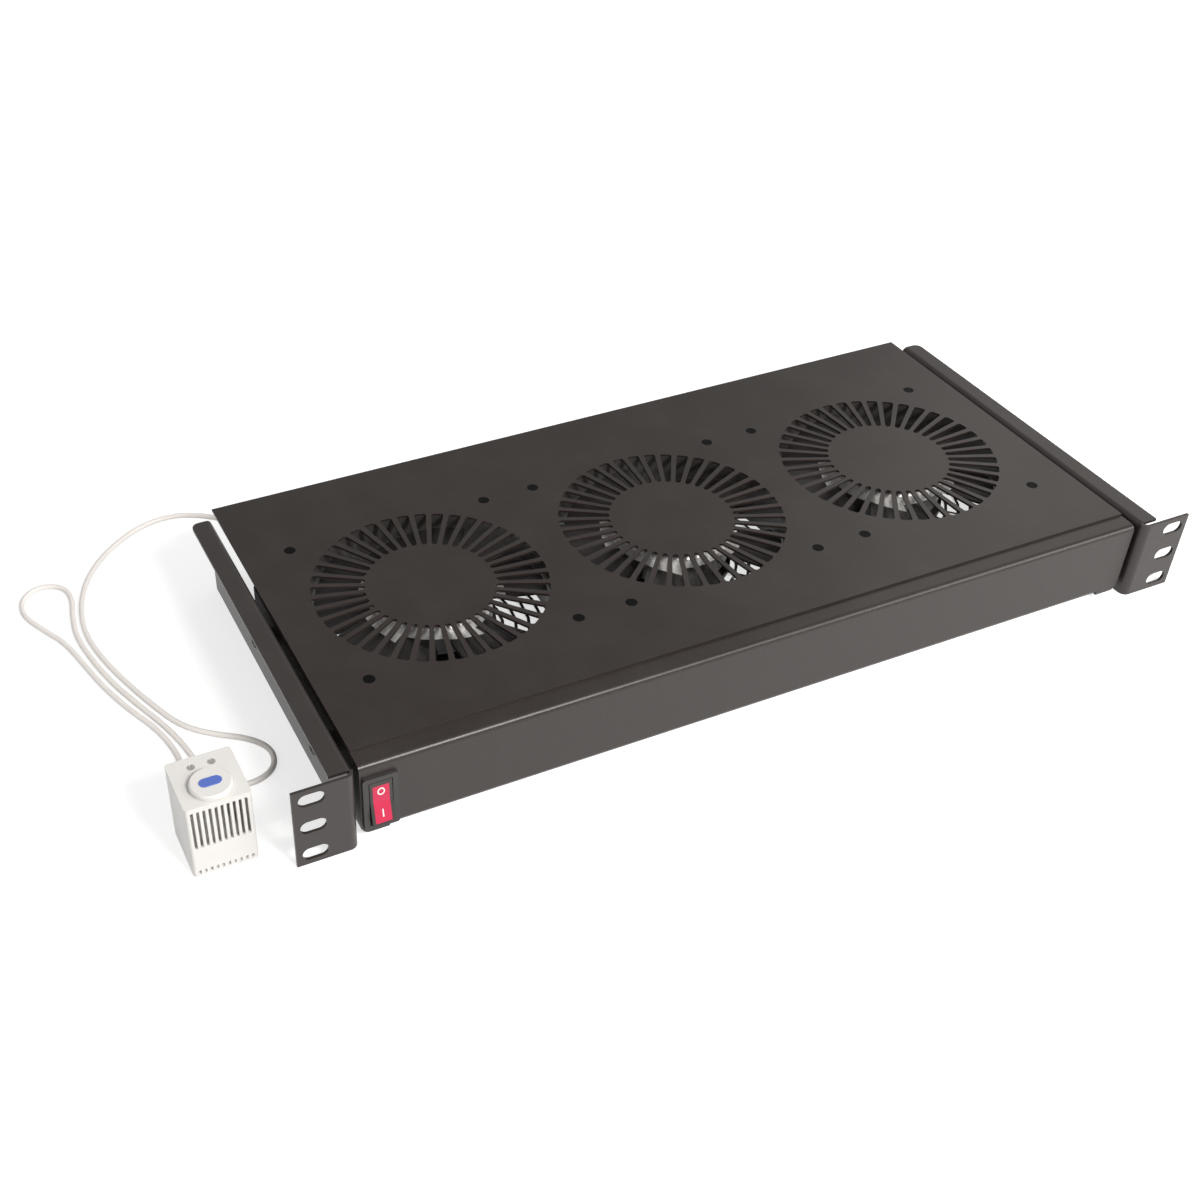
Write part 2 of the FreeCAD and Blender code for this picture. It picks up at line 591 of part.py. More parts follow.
def bracket_nuts():
    """Flanged nuts inside the side rails."""
    nuts = []
    for y in MOUNT_Y:
        seat = Vector(RAIL_INNER, y, MOUNT_Z)
        inward = Vector(-1, 0, 0)
        body = rod(seat, inward, NUT_FLANGE, NUT_FLANGE_HEIGHT)
        body = body.fuse(hexagon(seat + inward * NUT_FLANGE_HEIGHT, inward, NUT_FLATS, NUT_HEIGHT))
        body = body.cut(rod(seat - inward, inward, M4, NUT_FLANGE_HEIGHT + NUT_HEIGHT + 2))
        nuts += [body, mirrored(body)]
    return nuts


# ---------------------------------------------------------------- fans
def fan_frame(x):
    """Cast frame: two square flanges on a round duct, struts, motor base and bearing tube."""
    duct = rod(Vector(x, FAN_Y, FAN_BOTTOM), UP, FAN_BORE + 2 * FAN_WALL, FAN_HEIGHT)
    low = rounded_block(x, FAN_Y, FAN_SIZE, FAN_SIZE, FAN_CORNER, FAN_BOTTOM, FAN_BOTTOM + FAN_FLANGE)
    high = rounded_block(x, FAN_Y, FAN_SIZE, FAN_SIZE, FAN_CORNER, FAN_TOP - FAN_FLANGE, FAN_TOP)
    shell = duct.fuse([low, high]).removeSplitter()
    cuts = [rod(Vector(x, FAN_Y, FAN_BOTTOM - 1), UP, FAN_BORE, FAN_HEIGHT + 2)]
    for px, py in corners_of(x):
        cuts.append(rod(Vector(px, py, FAN_BOTTOM - 1), UP, M4 + M4_CLEARANCE, FAN_HEIGHT + 2))
    shell = shell.cut(Part.makeCompound(cuts))
    struts = []
    for i in range(STRUT_COUNT):
        strut = box(MOTOR_BASE / 2 - 2, (FAN_BORE + FAN_WALL) / 2, -STRUT_WIDTH / 2, STRUT_WIDTH / 2,
                    FAN_BOTTOM, FAN_BOTTOM + STRUT_HEIGHT)
        strut.rotate(Vector(0, 0, 0), UP, STRUT_TURN + 360.0 * i / STRUT_COUNT)
        strut.translate(Vector(x, FAN_Y, 0))
        struts.append(strut)
    bore = SHAFT_DIAMETER / 2 + BEARING_CLEARANCE
    tube = bore + BEARING_WALL
    seat = HUB_BOTTOM
    profile = [(0, FAN_BOTTOM), (MOTOR_BASE / 2, FAN_BOTTOM), (MOTOR_BASE / 2, MOTOR_BASE_TOP),
               (MOTOR_BOSS / 2, MOTOR_BASE_TOP), (MOTOR_BOSS / 2, seat), (tube, seat),
               (tube, HUB_ROOF - BEARING_HEADROOM), (bore, HUB_ROOF - BEARING_HEADROOM),
               (bore, MOTOR_BASE_TOP), (0, MOTOR_BASE_TOP)]
    return shell.fuse(struts + [revolved(profile, (x, FAN_Y))]).removeSplitter()


def stator(x):
    """Wound core on the bearing tube, inside the hub."""
    bore = SHAFT_DIAMETER / 2 + BEARING_CLEARANCE + BEARING_WALL
    profile = [(bore, HUB_BOTTOM), (STATOR_DIAMETER / 2, HUB_BOTTOM),
               (STATOR_DIAMETER / 2, HUB_BOTTOM + STATOR_HEIGHT), (bore, HUB_BOTTOM + STATOR_HEIGHT)]
    return revolved(profile, (x, FAN_Y))


def hub(x):
    """Rotor can with its shaft, open at the bottom over the stator."""
    r = HUB_DIAMETER / 2
    end = MOTOR_BASE_TOP + SHAFT_END_GAP
    profile = [(0, end), (SHAFT_DIAMETER / 2, end), (SHAFT_DIAMETER / 2, HUB_ROOF),
               (r - HUB_WALL, HUB_ROOF), (r - HUB_WALL, HUB_BOTTOM), (r, HUB_BOTTOM),
               (r, HUB_TOP - HUB_BEVEL), (r - HUB_BEVEL, HUB_TOP), (0, HUB_TOP)]
    return revolved(profile, (x, FAN_Y))


def blade_section(radius, chord, pitch):
    """Bent section of a blade in the plane square to its radius."""
    slope = math.radians(pitch)
    along = Vector(0, math.cos(slope), -math.sin(slope))
    across = Vector(0, math.sin(slope), math.cos(slope))
    middle = Vector(radius, 0, BLADE_MIDDLE - BLADE_CAMBER / 2)
    half = BLADE_THICKNESS / 2
    upper = [middle + along * (chord * u) + across * (BLADE_CAMBER * bow + half)
             for u, bow in ((-0.5, 0.0), (-0.17, 0.9), (0.17, 0.9), (0.5, 0.0))]
    lower = [point - across * BLADE_THICKNESS for point in upper[::-1]]
    return Part.makePolygon(upper + lower + [upper[0]])


def blades(x, turn):
    """Ring of twisted blades welded to the hub and trimmed to the duct."""
    r = HUB_DIAMETER / 2
    root = blade_section(r - BLADE_ROOT_SUNK, BLADE_ROOT_CHORD, BLADE_ROOT_PITCH)
    tip = blade_section(BLADE_TIP + 2 * BLADE_TIP_GAP, BLADE_TIP_CHORD, BLADE_TIP_PITCH)
    blade = Part.makeLoft([root, tip], True, True)
    low = FAN_BOTTOM
    ring = Part.makeCylinder(BLADE_TIP, FAN_HEIGHT, UP * low).cut(
        Part.makeCylinder(r, FAN_HEIGHT, UP * low))
    blade = blade.common(ring)
    solids = []
    for i in range(BLADE_COUNT):
        copy = blade.copy()
        copy.rotate(Vector(0, 0, 0), UP, turn + 360.0 * i / BLADE_COUNT)
        copy.translate(Vector(x, FAN_Y, 0))
        solids += copy.Solids
    return solids


def guard_ring(radius, low):
    """Ring of square wire, bent in short straight runs."""
    sides = []
    for reach in (radius + WIRE / 2, radius - WIRE / 2):
        corners = [(reach * math.cos(math.tau * i / RING_SIDES),
                    reach * math.sin(math.tau * i / RING_SIDES)) for i in range(RING_SIDES)]
        sides.append(lay(outline(corners), "XY", low, low + WIRE))
    return sides[0].cut(sides[1])


def finger_guard(x):
    """Guard: concentric rings welded under two crossing wires with an eye at each screw."""
    leg_low = FAN_BOTTOM - (GUARD_EYE_THICKNESS + WIRE) / 2
    eye_reach = FAN_HOLE_PITCH / 2 * math.sqrt(2)
    leg = box(GUARD_INNER_RING, eye_reach - M4, -WIRE / 2, WIRE / 2, leg_low, leg_low + WIRE)
    pieces = []
    for angle in (45, 135, 225, 315):
        copy = leg.copy()
        copy.rotate(Vector(0, 0, 0), UP, angle)
        pieces.append(copy)
    for i in range(GUARD_RING_COUNT):
        pieces.append(guard_ring(GUARD_INNER_RING + i * GUARD_RING_STEP, leg_low - WIRE + GUARD_WELD))
    guard = pieces[0].fuse(pieces[1:])
    guard.translate(Vector(x, FAN_Y, 0))
    eyes = [rod(Vector(px, py, GUARD_BOTTOM), UP, GUARD_EYE, GUARD_EYE_THICKNESS)
            for px, py in corners_of(x)]
    holes = [rod(Vector(px, py, GUARD_BOTTOM - 1), UP, M4 + M4_CLEARANCE, GUARD_EYE_THICKNESS + 2)
             for px, py in corners_of(x)]
    return guard.fuse(eyes).removeSplitter().cut(Part.makeCompound(holes))


def fan_screws():
    """Long countersunk screws through plate, frame and guard."""
    length = TOP - GUARD_BOTTOM + NUT_HEIGHT + THREAD_END
    return [countersunk(place, length, HEAD_DIAMETER, M4) for x in FAN_X for place in corners_of(x)]


def fan_nuts():
    """Nuts under the eyes of the guards."""
    return [nut(Vector(px, py, GUARD_BOTTOM), -UP) for x in FAN_X for px, py in corners_of(x)]


# ---------------------------------------------------------------- switch
def switch_body():
    """Bezel and body of the rocker switch, with the pocket and the pivot holes of the rocker."""
    def block(width, height, y0, y1):
        return box(SWITCH_X - width / 2, SWITCH_X + width / 2, y0, y1,
                   SWITCH_Z - height / 2, SWITCH_Z + height / 2)
    bezel = [(SWITCH_X - BEZEL_WIDTH / 2, SWITCH_Z - BEZEL_HEIGHT / 2),
             (SWITCH_X + BEZEL_WIDTH / 2, SWITCH_Z - BEZEL_HEIGHT / 2),
             (SWITCH_X + BEZEL_WIDTH / 2, SWITCH_Z + BEZEL_HEIGHT / 2),
             (SWITCH_X - BEZEL_WIDTH / 2, SWITCH_Z + BEZEL_HEIGHT / 2)]
    body = lay(outline(bezel, [BEZEL_CORNER] * 4), "XZ", BEZEL_FACE, FACE)
    body = body.fuse(block(SWITCH_WIDTH, SWITCH_HEIGHT, FACE, PANEL_BACK + SWITCH_DEPTH))
    pocket = block(ROCKER_WIDTH + 2 * ROCKER_GAP, ROCKER_HEIGHT + 2 * ROCKER_END_GAP, BEZEL_FACE - 1,
                   BEZEL_FACE + ROCKER_DEPTH)
    reach = ROCKER_WIDTH / 2 + PIVOT_REACH + PIVOT_CLEARANCE
    pivot = rod(Vector(SWITCH_X - reach, BEZEL_FACE + ROCKER_PIVOT, SWITCH_Z), Vector(1, 0, 0),
                PIVOT_DIAMETER + 2 * PIVOT_CLEARANCE, 2 * reach)
    return body.cut(pocket).cut(pivot).removeSplitter()


def rocker():
    """Rocker with a dished front and two pivot pins, tilted with its top end pressed in."""
    half = ROCKER_HEIGHT / 2
    front = -ROCKER_PIVOT - ROCKER_STAND
    floor = ROCKER_DEPTH - ROCKER_PIVOT - ROCKER_FLOOR_GAP
    swing = math.tan(math.radians(ROCKER_SWING))
    side = [(front, -half), (floor - half * swing - ROCKER_STAND, -half), (floor, -PIVOT_DIAMETER),
            (floor, PIVOT_DIAMETER), (floor - half * swing - ROCKER_STAND, half), (front, half),
            (front + ROCKER_DISH, 0)]
    body = lay(outline(side), "YZ", -ROCKER_WIDTH / 2, ROCKER_WIDTH / 2)
    reach = ROCKER_WIDTH / 2 + PIVOT_REACH
    body = body.fuse(rod(Vector(-reach, 0, 0), Vector(1, 0, 0), PIVOT_DIAMETER, 2 * reach))
    body.rotate(Vector(0, 0, 0), Vector(1, 0, 0), -ROCKER_SWING)
    body.translate(Vector(SWITCH_X, BEZEL_FACE + ROCKER_PIVOT, SWITCH_Z))
    return body


def switch_tabs():
    """Blade terminals behind the switch."""
    back = PANEL_BACK + SWITCH_DEPTH
    tabs = []
    for i in (-1, 0, 1):
        z = SWITCH_Z + i * TAB_SPACING
        tabs.append(box(SWITCH_X - TAB_WIDTH / 2, SWITCH_X + TAB_WIDTH / 2, back, back + TAB_LENGTH,
                        z - TAB_THICKNESS / 2, z + TAB_THICKNESS / 2))
    return tabs


# ---------------------------------------------------------------- mains inlet
def inlet_profile(width, height, corner):
    """Inlet outline: the two lower corners are cut at an angle."""
    a = width / 2
    b = height / 2
    points = [(-a + corner, -b), (a - corner, -b), (a, -b + corner), (a, b), (-a, b), (-a, -b + corner)]
    return outline([(INLET_X + u, MOUNT_Z + v) for u, v in points])


def inlet_body():
    """Snap-in appliance inlet in the rear panel, open to the back."""
    flange = [(INLET_X - INLET_FLANGE_WIDTH / 2, MOUNT_Z - INLET_FLANGE_HEIGHT / 2),
              (INLET_X + INLET_FLANGE_WIDTH / 2, MOUNT_Z - INLET_FLANGE_HEIGHT / 2),
              (INLET_X + INLET_FLANGE_WIDTH / 2, MOUNT_Z + INLET_FLANGE_HEIGHT / 2),
              (INLET_X - INLET_FLANGE_WIDTH / 2, MOUNT_Z + INLET_FLANGE_HEIGHT / 2)]
    mouth = BACK + INLET_FLANGE_THICKNESS
    body = lay(outline(flange, [INLET_FLANGE_CORNER] * 4), "XZ", BACK, mouth)
    shell = box(INLET_X - INLET_WIDTH / 2 + SWITCH_FIT, INLET_X + INLET_WIDTH / 2 - SWITCH_FIT,
                BACK - INLET_DEPTH, BACK,
                MOUNT_Z - INLET_HEIGHT / 2 + SWITCH_FIT, MOUNT_Z + INLET_HEIGHT / 2 - SWITCH_FIT)
    body = body.fuse(shell)
    cavity = lay(inlet_profile(SOCKET_WIDTH, SOCKET_HEIGHT, INLET_CORNER), "XZ",
                 mouth - SOCKET_DEPTH, mouth + 1)
    return body.cut(cavity).removeSplitter()


def inlet_pins():
    """Three flat pins, the middle one set lower, with solder tabs inside the tray."""
    root = BACK + INLET_FLANGE_THICKNESS - SOCKET_DEPTH
    tail = BACK - INLET_DEPTH
    pins = []
    for i, drop in ((-1, 0), (0, 1), (1, 0)):
        x = INLET_X + i * PIN_SPACING / 2
        z = MOUNT_Z + PIN_STAGGER / 2 - drop * PIN_STAGGER
        pins.append(box(x - PIN_THICKNESS / 2, x + PIN_THICKNESS / 2, root, root + PIN_LENGTH,
                        z - PIN_WIDTH / 2, z + PIN_WIDTH / 2))
        pins.append(box(x - TAB_THICKNESS / 2, x + TAB_THICKNESS / 2, tail - TAB_LENGTH, tail,
                        z - TAB_WIDTH / 2, z + TAB_WIDTH / 2))
    return pins


# ---------------------------------------------------------------- inside
def terminal_block():
    """Strip of screw terminals fixed under the top plate."""
    width = TERMINAL_WAYS * TERMINAL_STEP
    body = box(TERMINAL_X - width / 2, TERMINAL_X + width / 2, TERMINAL_Y - TERMINAL_DEPTH / 2,
               TERMINAL_Y + TERMINAL_DEPTH / 2, UNDER_PLATE - TERMINAL_HEIGHT, UNDER_PLATE)
    half = TERMINAL_BARREL / 2
    barrels = []
    wells = []
    low = UNDER_PLATE - TERMINAL_HEIGHT - TERMINAL_BARREL_HEIGHT
    for i in range(TERMINAL_WAYS):
        x = TERMINAL_X + (i - (TERMINAL_WAYS - 1) / 2) * TERMINAL_STEP
        for y in (TERMINAL_Y - TERMINAL_DEPTH / 4, TERMINAL_Y + TERMINAL_DEPTH / 4):
            barrels.append(box(x - half, x + half, y - half, y + half, low, low + TERMINAL_BARREL_HEIGHT))
            wells.append(rod(Vector(x, y, low - 1), UP, TERMINAL_WELL, TERMINAL_WELL_DEPTH + 1))
    return body.fuse(barrels).cut(Part.makeCompound(wells)).removeSplitter()


def grommet():
    """Rubber grommet in the rear panel, tight round the cable."""
    lip = GROMMET_HOLE / 2 + GROMMET_LIP_RADIAL
    hole = GROMMET_HOLE / 2
    bore = CABLE_DIAMETER / 2
    inner = BACK - PLATE_SHEET
    profile = [(bore, inner - GROMMET_LIP), (lip, inner - GROMMET_LIP), (lip, inner), (hole, inner),
               (hole, BACK), (lip, BACK), (lip, GROMMET_BACK), (bore, GROMMET_BACK)]
    ring = revolved([(r, y) for r, y in profile], (0, 0))
    ring.rotate(Vector(0, 0, 0), Vector(1, 0, 0), -90)
    ring.translate(Vector(GROMMET_X, 0, GROMMET_Z))
    return ring


# ---------------------------------------------------------------- thermostat
def thermostat_base():
    """Lower half with a row of small slits along its front and the spigot of the cover."""
    body = rounded_block(THERMOSTAT_X, THERMOSTAT_Y, THERMOSTAT_WIDTH, THERMOSTAT_DEPTH,
                         THERMOSTAT_ROUND, FLOOR, FLOOR + BASE_HEIGHT)
    inset = 2 * (THERMOSTAT_WALL + SPIGOT_FIT)
    spigot = rounded_block(THERMOSTAT_X, THERMOSTAT_Y, THERMOSTAT_WIDTH - inset,
                           THERMOSTAT_DEPTH - inset, THERMOSTAT_ROUND / 2, FLOOR + BASE_HEIGHT,
                           FLOOR + BASE_HEIGHT + SPIGOT_HEIGHT)
    body = body.fuse(spigot)
    slits = []
    for i in range(BASE_SLITS):
        x = THERMOSTAT_X + (i - (BASE_SLITS - 1) / 2) * VENT_STEP
        slits.append(box(x - BASE_SLIT_WIDTH / 2, x + BASE_SLIT_WIDTH / 2, THERMOSTAT_FRONT - 1,
                         THERMOSTAT_FRONT + THERMOSTAT_WALL, FLOOR + BASE_SLIT_RISE,
                         FLOOR + BASE_SLIT_RISE + BASE_SLIT_HEIGHT))
    slits.append(rod(Vector(CABLE_ENTRY_X, THERMOSTAT_BACK - INLET_BUSH_LENGTH / 2, CABLE_ENTRY_Z),
                     Vector(0, 1, 0), INLET_BUSH, INLET_BUSH_LENGTH))
    return body.cut(Part.makeCompound(slits))


def thermostat_cover():
    """Hollow cover with vents in its front, the dial's seat and two screw recesses."""
    low = FLOOR + BASE_HEIGHT
    body = rounded_block(THERMOSTAT_X, THERMOSTAT_Y, THERMOSTAT_WIDTH, THERMOSTAT_DEPTH,
                         THERMOSTAT_ROUND, low, THERMOSTAT_TOP)
    inset = 2 * THERMOSTAT_WALL
    hollow = rounded_block(THERMOSTAT_X, THERMOSTAT_Y, THERMOSTAT_WIDTH - inset,
                           THERMOSTAT_DEPTH - inset, THERMOSTAT_ROUND / 2, low - 1,
                           THERMOSTAT_TOP - 2 * THERMOSTAT_WALL)
    boss = rod(Vector(THERMOSTAT_X, DIAL_Y, THERMOSTAT_TOP - DIAL_SHAFT_LENGTH), UP,
               DIAL_SHAFT + 2 * THERMOSTAT_WALL, DIAL_SHAFT_LENGTH - THERMOSTAT_WALL)
    body = body.cut(hollow).fuse(boss)
    cuts = []
    for i in range(VENT_COUNT):
        x = THERMOSTAT_X + (i - (VENT_COUNT - 1) / 2) * VENT_STEP
        cuts.append(box(x - VENT_WIDTH / 2, x + VENT_WIDTH / 2, THERMOSTAT_FRONT - 1,
                        THERMOSTAT_FRONT + VENT_DEPTH,
                        THERMOSTAT_TOP - VENT_DROP - VENT_HEIGHT, THERMOSTAT_TOP - VENT_DROP))
    cuts.append(rod(Vector(THERMOSTAT_X, DIAL_Y, THERMOSTAT_TOP - DIAL_SHAFT_LENGTH - 1), UP,
                    DIAL_SHAFT + 2 * DIAL_CLEARANCE, DIAL_SHAFT_LENGTH + 2))
    for place in clamp_places():
        cuts.append(rod(Vector(place[0], place[1], THERMOSTAT_TOP - CLAMP_RECESS), UP, CLAMP_SCREW,
                        CLAMP_RECESS + 1))
    return body.cut(Part.makeCompound(cuts)).removeSplitter()


def thermostat_dial():
    """Setting dial with a screwdriver slot; its shaft turns in the cover's boss."""
    low = THERMOSTAT_TOP + DIAL_SEAT_GAP
    rim = DIAL_DIAMETER / 2
    profile = [(0, low), (rim, low), (rim, low + DIAL_HEIGHT - DIAL_BEVEL),
               (rim - DIAL_BEVEL, low + DIAL_HEIGHT), (0, low + DIAL_HEIGHT)]
    dial = revolved(profile, (THERMOSTAT_X, DIAL_Y))
    dial = dial.fuse(rod(Vector(THERMOSTAT_X, DIAL_Y, low - DIAL_SHAFT_LENGTH), UP, DIAL_SHAFT,
                         DIAL_SHAFT_LENGTH))
    reach = DIAL_SLOT_LENGTH / 2
    slot = box(THERMOSTAT_X - reach, THERMOSTAT_X + reach, DIAL_Y - DIAL_SLOT / 2,
               DIAL_Y + DIAL_SLOT / 2, low + DIAL_HEIGHT - DIAL_SLOT_DEPTH, low + DIAL_HEIGHT + 1)
    return dial.cut(slot).removeSplitter()


def clamp_places():
    """The two clamp screws behind the dial."""
    return [(THERMOSTAT_X + side * CLAMP_SPREAD / 2, THERMOSTAT_Y + CLAMP_BACK) for side in (-1, 1)]


def clamp_screws():
    """Slotted screws at the bottom of their recesses in the cover."""
    screws = []
    for x, y in clamp_places():
        low = THERMOSTAT_TOP - CLAMP_RECESS
        head = rod(Vector(x, y, low), UP, CLAMP_SCREW, CLAMP_RECESS)
        screws.append(head.cut(box(x - CLAMP_SLOT / 2, x + CLAMP_SLOT / 2, y - CLAMP_SCREW, y + CLAMP_SCREW,
                                   low + CLAMP_RECESS / 2, low + 2)))
    return screws


def cable_bush():
    """Bush in the thermostat's back through which the cable enters."""
    start = Vector(CABLE_ENTRY_X, THERMOSTAT_BACK - INLET_BUSH_LENGTH / 2, CABLE_ENTRY_Z)
    back = Vector(0, 1, 0)
    return rod(start, back, INLET_BUSH, INLET_BUSH_LENGTH)


# ---------------------------------------------------------------- cable
CABLE_ROUTE = [
    (GROMMET_X, GROMMET_BACK, GROMMET_Z), (-176, 221, -3.4), (-180, 236, -13), (-188, 250, CABLE_Z),
    (-200, 262, CABLE_Z), (-216, 270, CABLE_Z), (-234, 268, CABLE_Z), (-251, 258, CABLE_Z),
    (-266, 244, CABLE_Z), (-277, 227, CABLE_Z), (-283.5, 208, CABLE_Z), (-286, 188, CABLE_Z),
    (-283, 166, CABLE_Z), (-277, 144, CABLE_Z), (-269.5, 122, CABLE_Z), (-261.5, 103, CABLE_Z),
    (-249, 91, CABLE_Z), (-235.5, 82.5, CABLE_Z), (-227.5, 71, CABLE_Z), (-230.5, 58, CABLE_Z),
    (-243, 52.5, CABLE_Z), (-256, 57, CABLE_Z), (-261.5, 70, CABLE_Z), (-263.5, 88, CABLE_Z),
    (-268.5, 107, CABLE_Z), (-276, 126, CABLE_Z), (-283, 146, CABLE_Z), (-288, 168, CABLE_Z),
    (-290.5, 188, CABLE_Z), (-288.5, 205, CABLE_Z), (-285, 219, CABLE_Z), (-287, 231, CABLE_Z),
    (-298, 236.5, CABLE_Z), (-309, 229.5, CABLE_Z), (-311.5, 216, CABLE_Z), (-305, 201, CABLE_Z),
    (-297, 186, CABLE_Z), (-292.5, 167, CABLE_Z), (-288, 146, CABLE_Z), (-281, 125, CABLE_Z),
    (-272.5, 106, CABLE_Z), (-268.5, 88, CABLE_Z), (-269, 72, -20), (CABLE_ENTRY_X, 57, CABLE_ENTRY_Z),
    (CABLE_ENTRY_X, BUSH_BACK, CABLE_ENTRY_Z)]


def cable():
    """Plain lead along the route, with an arc as large as its two runs allow at each point."""
    points = [Vector(*place) for place in CABLE_ROUTE]
    radii = [0]
    for i in range(1, len(points) - 1):
        inward = points[i] - points[i - 1]
        outward = points[i + 1] - points[i]
        shorter = min(inward.Length, outward.Length)
        radii.append(0.45 * shorter / math.tan(inward.getAngle(outward) / 2))
    radii.append(0)
    print("cable radii", " ".join("%.0f" % r for r in radii[1:-1]))
    path = Part.Wire(rounded_edges(points, radii, False))
    start = (points[1] - points[0]).normalize()
    level = start.cross(UP).normalize() * (CABLE_DIAMETER / 2)
    upward = level.cross(start)
    turns = [math.tau * i / CABLE_SIDES for i in range(CABLE_SIDES + 1)]
    section = Part.makePolygon([points[0] + level * math.cos(a) + upward * math.sin(a) for a in turns])
    tube = path.makePipeShell([section], True, False, 2)
    area = CABLE_SIDES * math.sin(math.tau / CABLE_SIDES) * CABLE_DIAMETER ** 2 / 8
    print("cable length %.1f volume ratio %.5f" % (path.Length, tube.Volume / (area * path.Length)))
    return tube


# ---------------------------------------------------------------- all nodes
def main():
    """Write every node of the fan tray."""
    os.makedirs("parts", exist_ok=True)
    save("top_plate", [top_plate()])
    save("front_panel", [front_panel()])
    rail = side_rail()
    save("side_rail_right", [rail])
    save("side_rail_left", [mirrored(rail)])
    save("rear_panel", [rear_panel()])
    save("panel_studs", panel_studs())
    save("panel_nuts", [nut(Vector(x, STUD_Y, UNDER_PLATE - PANEL_SHEET), -UP) for x in STUD_X])
    right = bracket()
    save("bracket_right", [right])
    save("bracket_left", [mirrored(right)])
    save("bracket_screws", bracket_screws())
    save("bracket_spacers", bracket_spacers())
    save("bracket_nuts", bracket_nuts())
    for i, x in enumerate(FAN_X):
        number = str(i + 1)
        save("fan_frame_" + number, [fan_frame(x)])
        save("stator_" + number, [stator(x)])
        save("rotor_hub_" + number, [hub(x)])
        save("rotor_blades_" + number, blades(x, BLADE_TURN[i % len(BLADE_TURN)]))
        save("finger_guard_" + number, [finger_guard(x)])
    save("fan_screws", fan_screws())
    save("fan_nuts", fan_nuts())
    save("switch_body", [switch_body()])
    save("switch_rocker", [rocker()])
    save("switch_tabs", switch_tabs())
    save("inlet_body", [inlet_body()])
    save("inlet_pins", inlet_pins())
    save("terminal_block", [terminal_block()])
    save("cable_grommet", [grommet()])
    save("thermostat_base", [thermostat_base()])
    save("thermostat_cover", [thermostat_cover()])
    save("thermostat_dial", [thermostat_dial()])
    save("thermostat_screws", clamp_screws())
    save("cable_bush", [cable_bush()])
    save("thermostat_cable", [cable()])


main()
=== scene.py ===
import logging
import math
from dataclasses import dataclass, field
from enum import Enum
from typing import Dict, List, Optional, Sequence, Tuple

import bmesh
import bpy
from mathutils import Matrix, Vector


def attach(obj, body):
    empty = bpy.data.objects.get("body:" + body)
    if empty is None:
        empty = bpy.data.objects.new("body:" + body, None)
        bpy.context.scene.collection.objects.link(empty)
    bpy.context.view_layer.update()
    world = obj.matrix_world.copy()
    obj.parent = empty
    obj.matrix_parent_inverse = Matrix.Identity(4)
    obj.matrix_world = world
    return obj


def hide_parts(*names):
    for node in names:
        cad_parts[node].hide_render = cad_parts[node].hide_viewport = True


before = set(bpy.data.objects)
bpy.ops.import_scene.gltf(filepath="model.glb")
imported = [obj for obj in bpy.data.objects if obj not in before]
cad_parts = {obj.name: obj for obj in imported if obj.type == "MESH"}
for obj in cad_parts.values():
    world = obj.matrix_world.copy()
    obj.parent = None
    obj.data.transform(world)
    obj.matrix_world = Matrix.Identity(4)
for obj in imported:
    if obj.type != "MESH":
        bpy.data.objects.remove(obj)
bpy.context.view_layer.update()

LOG = logging.getLogger("fan_tray")
MM = 0.001
Point = Tuple[float, float, float]
Colour = Tuple[float, float, float]
DUST_ON_PAINT: Colour = (0.32, 0.30, 0.28)
DUST_ON_PLASTIC: Colour = (0.36, 0.34, 0.32)
WHITE = (1.0, 1.0, 1.0, 1.0)
FAN_NUMBERS = (1, 2, 3)


class Body(Enum):
    """Moving bodies of the fan tray."""

    TRAY = "tray"
    ROCKER = "rocker"
    DIAL = "dial"


class Mark(Enum):
    """Switch marks for off and on."""

    OFF = "ring"
    ON = "bar"


